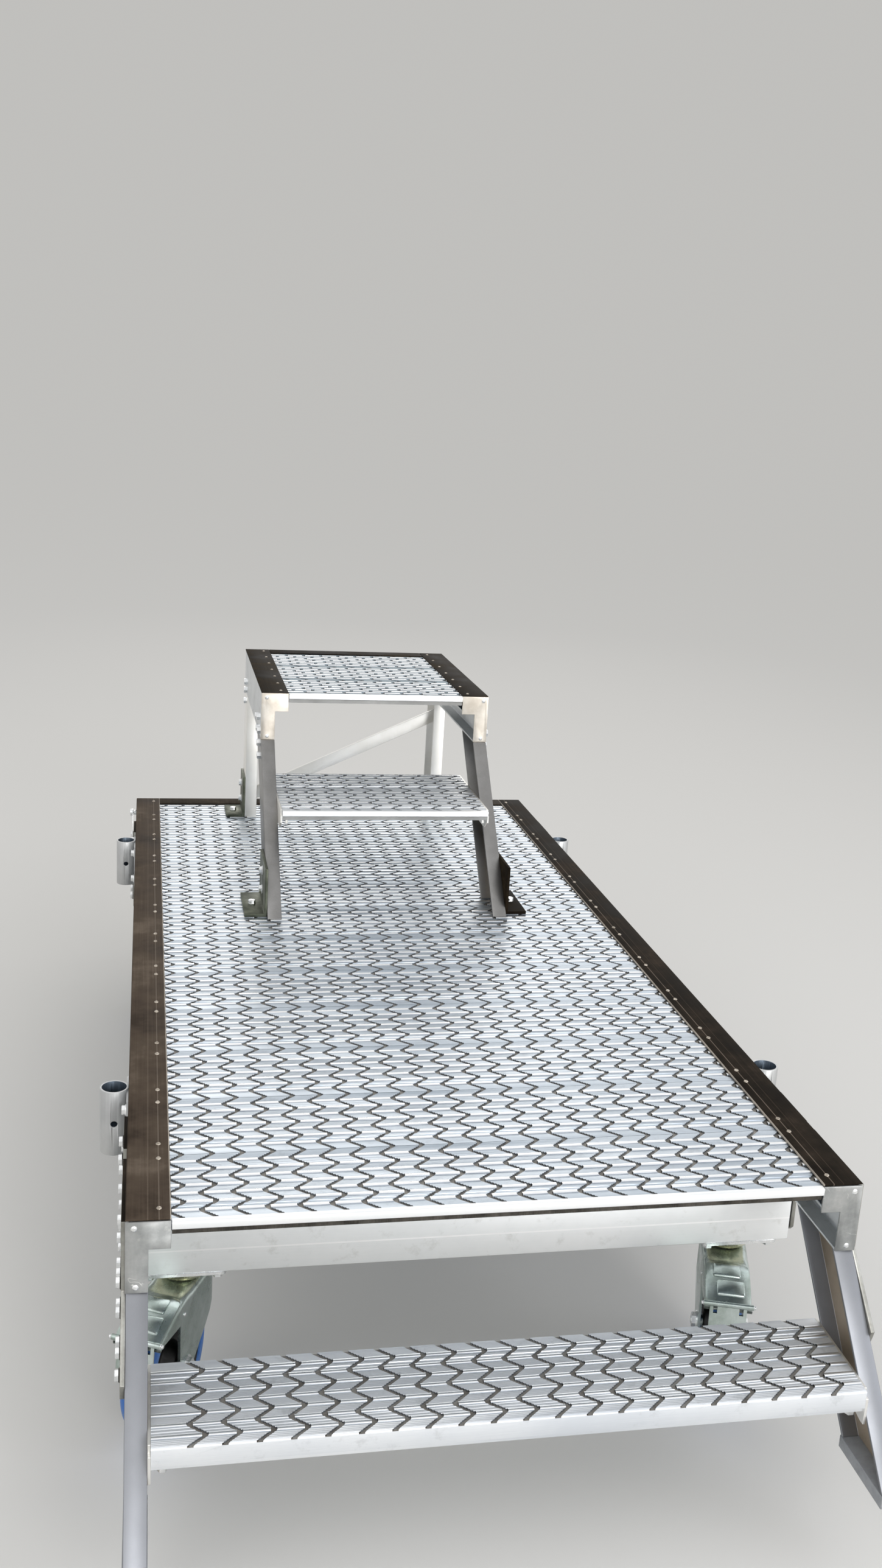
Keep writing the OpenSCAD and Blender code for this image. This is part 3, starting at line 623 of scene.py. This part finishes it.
# Height of the rib that each tooth row carries, band by band from the front: the first band is smooth, the
# second has one narrow ridge in its middle, the next four only fine lines, and the last two stronger ribs.
BANDS = [[0] * 7, [0, 0, 0, 0.9, 0, 0, 0], *[[0.34] * 7] * 4, [0.1, 0.6, 0.1, 0.6, 0.1, 0.6, 0.1],
         [0, 0.5, 0.5, 0.5, 0.5, 0.5, 0]]


def plank_rows(depth, end_round):
    """Rows (y, z) of a plank's top in millimetres, from its front to depth, below the ridges' height."""
    rows = {0.0: -RIDGE_HEIGHT}
    # Each row of teeth is a small saw tooth, low in front and high at its back; the narrow ridge is flat.
    for band, ribs in enumerate(BANDS):
        for tooth, height in enumerate(ribs):
            foot = (band * 7 + tooth) * TOOTH_PITCH
            near = height if height > 0.8 else 0.15 * height
            rows[foot + 0.12 * TOOTH_PITCH] = near - RIDGE_HEIGHT
            if 0.4 < height < 0.8:
                rows[foot + 0.62 * TOOTH_PITCH] = height - RIDGE_HEIGHT
            rows[foot + 0.88 * TOOTH_PITCH] = height - RIDGE_HEIGHT
    for ridge in range(1, 8):
        middle = ridge * CELL
        for y in [y for y in rows if abs(y - middle) < 3.6]:
            del rows[y]
        for out, drop in RIDGE_ROWS:
            rows[middle - out] = rows[middle + out] = -drop
    rows = {y: z for y, z in rows.items() if y < depth - end_round}
    for turn in (0, 30, 60, 90):
        a = math.radians(turn)
        rows[depth - end_round * (1 - math.sin(a))] = -RIDGE_HEIGHT - end_round * (1 - math.cos(a))
    return sorted(rows.items())


def groove_shift(y):
    """How far right of its mean line a groove's middle lies at y: straight over a ridge, then slanted."""
    phase = (y / CELL) % 2
    along = phase if phase < 1 else 2 - phase
    share = min(max((along * CELL - STRAIGHT) / (CELL - 2 * STRAIGHT), 0.0), 1.0)
    return GROOVE_SWING * (0.5 - share)


# %% Plank mesh
def plank_top(rows, half, lines, turned):
    """The grooved top as points, faces and each face's place in the list of materials."""
    per_row = 2 + 4 * len(lines)
    points, faces, finish = [], [], []
    for y, z in rows:
        shift = groove_shift(y)
        middle = (math.floor(y / TOOTH_PITCH) + 0.5) * TOOTH_PITCH
        step = TOOTH_DEPTH * (groove_shift(middle) - shift)
        on_right = (int(middle / CELL) % 2 == 0) != turned
        left_step, right_step = (0.0, step) if on_right else (step, 0.0)
        points.append((-half, y, z))
        for line in lines:
            a = line + shift - GROOVE_WIDTH / 2 + left_step
            b = line + shift + GROOVE_WIDTH / 2 + right_step
            points += [(a, y, z), (a, y, -GROOVE_DEPTH), (b, y, -GROOVE_DEPTH), (b, y, z)]
        points.append((half, y, z))
    for r in range(len(rows) - 1):
        base = r * per_row
        y = (rows[r][0] + rows[r + 1][0]) / 2
        from_ridge = abs(y - CELL * round(y / CELL)) if CELL / 2 < y < 7.5 * CELL else CELL
        at_tooth = abs(y / TOOTH_PITCH - round(y / TOOTH_PITCH)) < 0.13
        # Ridge tops take a painted highlight; both sides of a ridge and the teeth's tips a painted half
        # shade.
        top = 3 if from_ridge < 2.6 else 4 if from_ridge < 3.6 else 0
        tip = 4 if at_tooth else 2
        on_right = (int(y / CELL) % 2 == 0) != turned
        kinds = [top, 2 if on_right else tip, 1, tip if on_right else 2]
        for c in range(per_row - 1):
            faces.append((base + c, base + c + 1, base + per_row + c + 1, base + per_row + c))
        finish += (kinds * (per_row // 4 + 1))[:per_row - 1]
    return points, faces, finish


def plank_mesh(name, half, first, depth, metal_on_top, turned=False, end_round=0.5):
    """A plank from -half to half in X with groove mean lines from first on; teeth are on the far side.

    The materials are, in order: top, groove floor, groove wall in painted shade, rubbed metal of the ridges
    with a painted highlight, and dust with a painted half shade on both sides of a ridge and on the teeth's
    tips.
    """
    rows = plank_rows(depth, end_round)
    reach = half - 0.5 * (GROOVE_SWING + GROOVE_WIDTH) - TOOTH_DEPTH - 1
    lines = [first + k * GROOVE_PITCH for k in range(60) if abs(first + k * GROOVE_PITCH) < reach]
    points, faces, finish = plank_top(rows, half, lines, turned)
    per_row = 2 + 4 * len(lines)
    last = (len(rows) - 1) * per_row
    step_down = -NOSE_HEIGHT - JOINT_HEIGHT
    under = [(depth, 8 - PLANK_HEIGHT), (depth - 5, 8 - PLANK_HEIGHT), (depth - 5, -PLANK_HEIGHT),
             (TONGUE, -PLANK_HEIGHT), (TONGUE, step_down), (6, step_down), (6, -NOSE_HEIGHT),
             (0, -NOSE_HEIGHT)]
    low = len(points)
    for y, z in under:
        points += [(-half, y, z), (half, y, z)]
    for k in range(len(under) - 1):
        a = low + 2 * k
        faces.append((a, a + 1, a + 3, a + 2))
    faces.append([last + c for c in range(per_row)] + [low + 1, low])
    faces.append(list(range(per_row))[::-1] + [low + 2 * len(under) - 2, low + 2 * len(under) - 1])
    for side in (0, 1):
        faces.append([r * per_row + side * (per_row - 1) for r in range(len(rows))]
                     + [low + 2 * k + side for k in range(len(under))])
    finish += [0] * (len(faces) - len(finish))
    finishes = [metal_on_top, groove_metal, groove_wall, rubbed_highlight_metal, dust_half_shade_metal]
    return solid_mesh(name, points, faces, finishes, finish)


def lay(name, mesh, place, nodes=(), turn=0.0):
    """A plank or a lip at a place in metres, turned about Z by an angle in radians."""
    piece = place_piece(name, mesh, "frame", nodes)
    piece.matrix_world = Matrix.Translation(place) @ Matrix.Rotation(turn, 4, "Z")


# %% [markdown]
# The front of each row of planks ends in a smooth lip. It is one profile drawn along X: a flat top, a rounded
# shoulder, an upright face, and the shaded front of the planks' tongue that lies back under the lip.

# %% Nose
def nose_mesh(name, half, shade=groove_wall):
    profile = [(0.6, 0.0)]
    for turn in (0, 22, 45, 67, 90):
        a = math.radians(turn)
        profile.append((3.0 - LIP_REACH - 3.0 * math.sin(a), 3.0 * math.cos(a) - 3.0))
    low, under = -NOSE_HEIGHT - JOINT_HEIGHT, -NOSE_HEIGHT
    profile += [(-LIP_REACH, 0.8 + under), (0.8 - LIP_REACH, under), (SLOT_BACK - LIP_REACH, under),
                (SLOT_BACK - LIP_REACH, low), (5.4, low), (5.4, under), (0.6, under)]
    count = len(profile)
    points = [(side * half, y, z) for side in (-1, 1) for y, z in profile]
    faces = [(k, (k + 1) % count, count + (k + 1) % count, count + k) for k in range(count)]
    faces += [list(range(count))[::-1], list(range(count, 2 * count))]
    finish = [1 if 7 <= k <= 11 else 0 for k in range(count)] + [0, 0]
    return solid_mesh(name, points, faces, [nose_painted_light, shade], finish)


# %% Planks of the deck
# The planks start this far behind the edge of the beams, and the grooves' first mean lines lie at these X.
DECK_FRONT = 2.2
DECK_FIRST, STAIR_FIRST, PODIUM_LINE = -433.7, -426.0, -225.2
lo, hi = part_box("deck_planks")
half_deck = (hi.x - lo.x) / 2 / MM
plank_count = round((hi.y - lo.y) / MM / PITCH)
deck_plank = plank_mesh("deck_plank", half_deck, DECK_FIRST, DEPTH, plank_aluminium)
for k in range(plank_count):
    lay(f"deck_plank_{k + 1}", deck_plank, (0, deck_edge + (DECK_FRONT + k * PITCH) * MM, deck_top),
        ["deck_planks"] if k == 0 else [])
lay("deck_nose", nose_mesh("deck_nose", trim_inner - 1), (0, deck_edge + DECK_FRONT * MM, deck_top))
print("deck planks", plank_count, "faces each", len(deck_plank.polygons))

# %% Tread of the stair, turned round so that its flat rear face is in front
lo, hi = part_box("stair_tread")
tread_mesh = plank_mesh("stair_plank", (hi.x - lo.x) / 2 / MM, STAIR_FIRST, (hi.y - lo.y) / MM,
                        tread_painted_light, turned=True, end_round=2.5)
lay("stair_plank", tread_mesh, (0, hi.y, hi.z), ["stair_tread"], math.pi)
print("stair plank faces", len(tread_mesh.polygons))

# %% Planks of the podium
lo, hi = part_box("podium_planks")
podium_x = (lo.x + hi.x) / 2
podium_half = (hi.x - lo.x) / 2 / MM
podium_plank = plank_mesh("podium_plank", podium_half, PODIUM_LINE, DEPTH, podium_painted_shade)
for k in range(3):
    lay(f"podium_plank_{k + 1}", podium_plank, (podium_x, podium_lo.y + (DECK_FRONT + k * PITCH) * MM, hi.z),
        ["podium_planks"] if k == 0 else [])
lay("podium_nose", nose_mesh("podium_nose", podium_half + 8 - TRIM_WIDTH - 1, lip_shade),
    (podium_x, podium_lo.y + DECK_FRONT * MM, hi.z))

lo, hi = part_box("podium_tread")
tread_half = (hi.x - lo.x) / 2 / MM
tread_front = lo.y + LIP_REACH * MM
back_depth = (hi.y - tread_front) / MM - PITCH
for k, depth in enumerate((DEPTH, back_depth)):
    mesh = plank_mesh(f"podium_tread_{k + 1}", tread_half, PODIUM_LINE, depth, tread_painted_light)
    lay(f"podium_tread_{k + 1}", mesh, (podium_x, tread_front + k * PITCH * MM, hi.z),
        ["podium_tread"] if k == 0 else [])
lay("podium_tread_nose", nose_mesh("podium_tread_nose", tread_half, lip_shade), (podium_x, tread_front, hi.z))

# %% [markdown]
# Flat plates hold the treads between the stringers. Each is one outline seen from the side, drawn out along
# X, with a lug that hangs in front of the tread; the podium's have a second, shorter hook further in. The
# bolts that the picture shows around them are six-sided bars with a small chamfer.

# %% Tread brackets
def bracket_pieces(node, hang, hook):
    """hang is how far the lug reaches below the tread's top, in millimetres."""
    lo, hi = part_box(node)
    y, z, end, outer = lo.y / MM, hi.z / MM + RIDGE_HEIGHT, hi.y / MM, (hi.x - lo.x) / 2 / MM
    middle = (lo.x + hi.x) / 2 / MM
    low = z - PLANK_HEIGHT - 8
    under = z - NOSE_HEIGHT - 2
    side = [(y, under), (y, z - hang), (y + 9, z - hang), (y + max(12, 0.9 * hang), low), (end, low),
            (end, z - RIDGE_HEIGHT), (y + 8, z - RIDGE_HEIGHT), (y + 8, under)]
    points, faces = [], []
    for turn in (-1, 1):
        joined(points, faces, [[(middle + turn * x, b, c) for b, c in side] for x in (outer - 4, outer)])
        if hook:
            short = [(y, under), (y, z - hang), (y + 6, z - hang), (y + 9, under)]
            inner = (outer - 15, outer - 10)
            joined(points, faces, [[(middle + turn * x, b, c) for b, c in short] for x in inner])
    mesh = solid_mesh(node, points, faces, [upright_aluminium])
    round_edges(place_piece(node + "_shown", mesh, "frame", [node]), 0.7)


bracket_pieces("tread_brackets", 52, False)
bracket_pieces("podium_brackets", 28, True)


# %% Bolts that only the picture shows
def hexagons(name, places, along_z, radius, height):
    """Bolt heads with their feet at the given places; they point down, or outward from X = podium_middle."""
    points, faces = [], []
    for x, y, z in places:
        out = 1 if x > podium_middle else -1
        loops = []
        for far, r in ((-1, radius), (height - 1, radius), (height, radius - 1)):
            if along_z:
                loops.append([(x + u, y + v, z - far) for u, v in circle(r, 6)])
            else:
                loops.append([(x + out * far, y + u, z + v) for u, v in circle(r, 6)])
        joined(points, faces, loops)
    place_piece(name, solid_mesh(name, points, faces, [bright_zinc]), "frame")


# (distance from the podium's front edge, or from its rear edge where negative; height above its beams' top)
SPOTS = ((-70, -66), (-70, -86), (-70, -112), (88, -68), (44, -60), (52, -86), (18, -84), (24, -112),
         (6, -136))
half_podium = podium_face - podium_middle
places = [(podium_middle + side * half_podium, (podium_lo if y > 0 else podium_hi).y / MM + y,
           podium_hi.z / MM + z) for side in (-1, 1) for y, z in SPOTS]
hexagons("podium_bolts", places, False, 8, 8)
lo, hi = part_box("stair_tread")
places = [(side * (hi.x / MM - 14), lo.y / MM + 14, lo.z / MM) for side in (-1, 1)]
hexagons("tread_bolts", places, True, 7, 8)
print("bolts", 2 * len(SPOTS) + len(places))

# %% [markdown]
# A castor's fork is pressed from one sheet: parallel cheeks, a half round behind the swivel, and a hood that
# dips like a saddle from the bearing down to the brake's pedal. It is built in the castor's own frame (swivel
# axis Z, floor at Z = 0, wheel trailing along -Y) as a row of closed sections that are joined one by one.
# A section is an arch: outer skin up one side, over the top and down, then the inner skin back.

# %% Sizes of a castor
TRAIL, WHEEL, SHEET, FORK, BOSS, CROWN_Y = 62.0, 100.0, 4.0, 35.0, 23.0, 22.0
CASTOR_HEIGHT = 240.0
CROWN = CASTOR_HEIGHT - 32.5
LEG_FRONT = -TRAIL - BOSS
LIP_Y, LIP_Z = -153.0, CASTOR_HEIGHT - 50
# (y, z in the middle, z at the sides) of the top from the lip to the rear of the crown
HOOD = [(-152, 190.5, 189), (-140, 194.5, 193.5), (-125, 199.5, 198.5), (-110, 204, 203), (-95, 207.5, 206.5),
        (-82, 209.5, 209), (-72, 209.8, 210), (-62, 209.5, 210), (-52, 208.5, 209), (-45, 207.7, 208),
        (-40, CROWN, CROWN), (60, CROWN, CROWN)]
# (y, z) of the cheeks' lower edge: short under the hood, then the leg down to the axle, then up to the rear
LOWER = [(-152, 183), (LEG_FRONT, 177), (LEG_FRONT + 0.4, WHEEL)]
LOWER += [(-TRAIL - BOSS * math.cos(a), WHEEL - BOSS * math.sin(a))
          for a in (0.35, 0.7, 1.05, 1.4, 1.75, 2.1)]
LOWER += [(-20, 102), (5, 121), (22, 137), (36, 153), (46, 168), (53, 183), (56.9, 197)]


def between(table, y, column=1):
    """The value of a table's column at y, on a straight line between its two nearest rows."""
    for low, high in zip(table, table[1:]):
        if y <= high[0]:
            share = (y - low[0]) / (high[0] - low[0])
            return low[column] + (high[column] - low[column]) * share
    return table[-1][column]


def arch(half, crown, side, foot, corner):
    """Half of an arch in X and Z from its foot to the middle of its top."""
    corner = min(corner, 0.8 * half)
    line = [(half, foot), (half, side - corner)]
    line += [(half - corner * (1 - math.cos(a)), side - corner * (1 - math.sin(a))) for a in (0.4, 0.8, 1.2)]
    flat = half - corner
    line += [(flat * f, side + (crown - side) * (1 - f * f)) for f in (1.0, 0.8, 0.6, 0.3, 0.0)]
    return line


def arch_loop(y, outer, inner, drop):
    """Closed section at y: the outer skin from right to left and the inner skin, drop lower, back again."""
    crown, side, foot = between(HOOD, y), between(HOOD, y, 2), between(LOWER, y)
    loop = []
    for half, down, corner in ((outer, 0.0, 10.0), (inner, drop, 6.5)):
        skin = arch(half, crown - down, side - down, foot, corner)
        whole = skin + [(-x, z) for x, z in skin[-2::-1]]
        loop += whole if down == 0.0 else whole[::-1]
    return [(x, y, z) for x, z in loop]


def barrel(points, faces, middle, half, radius, sides, end=0.0):
    """A round or many-sided bar along X about middle; end is the size of the chamfer on both ends."""
    loops = []
    for x, r in ((-half, radius - end), (end - half, radius), (half - end, radius), (half, radius - end)):
        loops.append([(middle[0] + x, middle[1] + u, middle[2] + v) for u, v in circle(r, sides)])
    joined(points, faces, loops if end else loops[1:3])


# %% Fork, pedal and axle
# The kingpin's hole reaches this far along Y and along X.
HOLE, HOLE_SIDE = 9.0, 8.8


def shell(points, faces):
    """The pressed sheet, one arch after another from the lip to the rear, with the kingpin's hole."""
    rear = [CROWN_Y + FORK * math.sin(a) for a in (0.25, 0.5, 0.75, 1.0, 1.2, 1.38, 1.5, 1.56)]
    stations = sorted({row[0] for row in HOOD[:-1] + LOWER[:-1]} | {-HOLE, HOLE, CROWN_Y, *rear})
    loops = []
    for y in stations:
        turn = max(0.0, y - CROWN_Y)
        outer = math.sqrt(FORK ** 2 - turn ** 2)
        room = (FORK - SHEET) ** 2 - turn ** 2
        loops.append(arch_loop(y, outer, math.sqrt(room) if room > 0.04 else 0.2, SHEET))
    joined(points, faces, loops)
    cut_hole(faces, loops[0], stations.index(-HOLE), stations.index(HOLE))


def cut_hole(faces, loop, first, second):
    """Takes out the cells of both skins between two stations about the swivel axis and joins their rims."""
    count = len(loop)
    skin = count // 2
    tops = [c for c in range(count) if abs(loop[c][0]) <= HOLE_SIDE]
    outer_cells = [c for c in tops if c < skin][:-1]
    inner_cells = [c for c in tops if c >= skin][:-1]
    hole = {(k, c) for k in range(first, second) for c in outer_cells + inner_cells}
    kept = [f for n, f in enumerate(faces[:-2]) if (n // count, n % count) not in hole] + faces[-2:]
    a0, a1, b0, b1 = outer_cells[0], outer_cells[-1] + 1, inner_cells[0], inner_cells[-1] + 1
    for k in range(first, second):
        for c, d in ((a0, b1), (a1, b0)):
            kept.append((k * count + c, (k + 1) * count + c, (k + 1) * count + d, k * count + d))
    for k in (first, second):
        for n in range(a1 - a0):
            c, d = k * count + a0 + n, k * count + b1 - n
            kept.append((c, c + 1, d - 1, d))
    faces[:] = kept


def pedal_top(x, y):
    """Height of the pedal plate's upper face, which falls a little towards both sides."""
    return between(HOOD, y) + 3.0 - 2.0 * (x / FORK) ** 2


def pedal(points, faces):
    """The pedal plate on the hood, with rounded rear corners."""
    loops = []
    for y, half in ((-151, 32.5), (-140, 33), (-125, 33), (-110, 33), (-95, 33), (-82, 32.5), (-76, 30.5),
                    (-73, 27.5), (-71.5, 24)):
        xs = [half * f for f in (1, 0.93, 0.5, 0, -0.5, -0.93, -1)]
        loops.append([(x, y, pedal_top(x, y) - (1.2 if abs(x) == half else 0)) for x in xs]
                     + [(x, y, pedal_top(x, y) - 5.0) for x in xs[::-1]])
    joined(points, faces, loops)


def pads(points, faces):
    """Two raised pads on the pedal, the front one shifted to the right."""
    for x0, y0 in ((-22, -108), (-17, -141)):
        loops = []
        for dy, inset, lift in ((0, 2.2, -1), (0.3, 1.4, 1.4), (1.4, 0.6, 2.4), (3.5, 0, 2.8), (13, 0, 2.8),
                                (23, 0, 2.8), (25, 0.6, 2.4), (26.2, 1.4, 1.4), (26.5, 2.2, -1)):
            a, b, y = x0 + inset, x0 + 41 - inset, y0 + dy
            base = pedal_top(x0 + 20, y)
            low = 0.6 * lift
            section = ((a, -1), (a + 0.3, low), (a + 2, lift), (b - 2, lift), (b - 0.3, low), (b, -1))
            loops.append([(x, y, base + z) for x, z in section])
        joined(points, faces, loops)


def lip(points, faces):
    """The rolled lip, and the apron that hangs from it with two slots."""
    barrel(points, faces, (0, LIP_Y, LIP_Z), FORK + 2, 4, 20, 0.8)
    slant = 7.0 / 42
    for x0, x1, top, low in ((-27, -22, 0, 14), (-16, 16, 0, 14), (22, 27, 0, 14), (-27, 27, 13.8, 42)):
        outline = [(x0, top), (x1, top), (x1, low), (x0, low)]
        joined(points, faces, [[(x, LIP_Y + step - slant * d, LIP_Z - d) for x, d in outline]
                               for step in (-1, 2)])


def axle(points, faces):
    """The axle through both cheeks, then on each side its nut, washer and spacer and the pedal's two pins."""
    barrel(points, faces, (0, -TRAIL, WHEEL), FORK + 9, 6, 20, 0.6)
    for side in (-1, 1):
        barrel(points, faces, (side * (FORK + 4), -TRAIL, WHEEL), 4, 11, 6, 0.8)
        barrel(points, faces, (side * (FORK + 0.8), -TRAIL, WHEEL), 0.8, 14, 28)
        barrel(points, faces, (side * (FORK - SHEET - 2.5), -TRAIL, WHEEL), 2.5, 10, 24)
        barrel(points, faces, (side * (FORK + 3.4), LIP_Y, LIP_Z), 1.6, 2.8, 16, 0.8)
        barrel(points, faces, (side * (FORK + 0.6), -72, 188), 1.4, 3.0, 14, 0.9)


def fork_mesh():
    points, faces = [], []
    for build in (shell, pedal, pads, lip, axle):
        build(points, faces)
    mesh = solid_mesh("castor_fork", points, faces, [fork_steel, bright_zinc], smooth_below=38)
    for face in mesh.polygons:
        out, z = abs(face.center.x) / MM, face.center.z / MM
        face.material_index = 1 if out > FORK + 0.2 and z > 60 else 0
    return mesh


shared_fork = fork_mesh()
joints = {joint["name"]: joint for joint in frame["record"]["behaviour"]["joints"]}
for corner in CORNERS:
    x, y, _ = joints["swivel_" + corner]["pos_m"]
    roll = joints["roll_" + corner]["axis"]
    piece = place_piece(f"fork_{corner}_shown", shared_fork, "castor_" + corner, ["fork_" + corner])
    piece.matrix_world = Matrix.Translation((x, y, 0)) @ Matrix.Rotation(math.atan2(roll[1], roll[0]), 4, "Z")
print("fork faces", len(shared_fork.polygons))

# %% [markdown]
# Above the fork sits the fixed half of the castor: a square plate with four bolts, the pressed bowl that
# covers the ball races, and the kingpin with its nut, seen only from below. The bowl is turned on a lathe:
# one profile of radius and height, repeated around the swivel axis.

# %% Bearing bowls and top plates
PLATE = 120.0
# (radius, height above the fork's crown) of the bowl, from its inner rim up to the plate
BOWL = [(9, 0.3), (27, 0.3), (29, 0.9), (33, 2.8), (36.5, 6), (39, 10.5), (40.8, 16), (42, 21), (43.5, 24.5)]


def ring(radius, z, sides=48):
    return [(x, y, z) for x, y in circle(radius, sides)]


def rounded_square(half, corner, z):
    loop = []
    for sx, sy, first in ((1, 1, 0), (-1, 1, 90), (-1, -1, 180), (1, -1, 270)):
        for step in range(6):
            a, flat = math.radians(first + 18 * step), half - corner
            loop.append((sx * flat + corner * math.cos(a), sy * flat + corner * math.sin(a), z))
    return loop


def castor_top_mesh():
    points, faces = [], []
    under = CASTOR_HEIGHT - 6
    joined(points, faces, [rounded_square(PLATE / 2 - inset, 7, z) for inset, z in (
        (0.7, under), (0, under + 0.7), (0, CASTOR_HEIGHT - 0.7), (0.7, CASTOR_HEIGHT))])
    plate_faces = len(faces)
    joined(points, faces, [ring(r, CROWN + z) for r, z in BOWL] + [ring(46, under + 0.5)])
    bowl_faces = len(faces)
    joined(points, faces, [ring(8, CROWN - 10, 24), ring(8, CROWN + 1, 24)])
    nut = ((12, CROWN - 12), (13, CROWN - 11.2), (13, CROWN - 4.3))
    joined(points, faces, [ring(r, z, 6) for r, z in nut])
    away = PLATE / 2 - 12
    for dx in (-away, away):
        for dy in (-away, away):
            for sides, rings in ((24, ((9.5, under - 1.6), (9.5, under + 0.5))),
                                 (6, ((7, under - 7), (8, under - 6.3), (8, under - 1)))):
                joined(points, faces, [[(u + dx, v + dy, z) for u, v in circle(r, sides)] for r, z in rings])
    finish = [1 if plate_faces <= k < bowl_faces else 0 for k in range(len(faces))]
    return solid_mesh("castor_top", points, faces, [bright_zinc, bowl_painted_light], finish, smooth_below=35)


shared_top = castor_top_mesh()
for corner in CORNERS:
    x, y, _ = joints["swivel_" + corner]["pos_m"]
    piece = place_piece("castor_top_" + corner, shared_top, "frame",
                        ["castor_plates"] if corner == "lf" else [])
    piece.matrix_world = Matrix.Translation((x, y, 0))
print("castor top faces", len(shared_top.polygons))
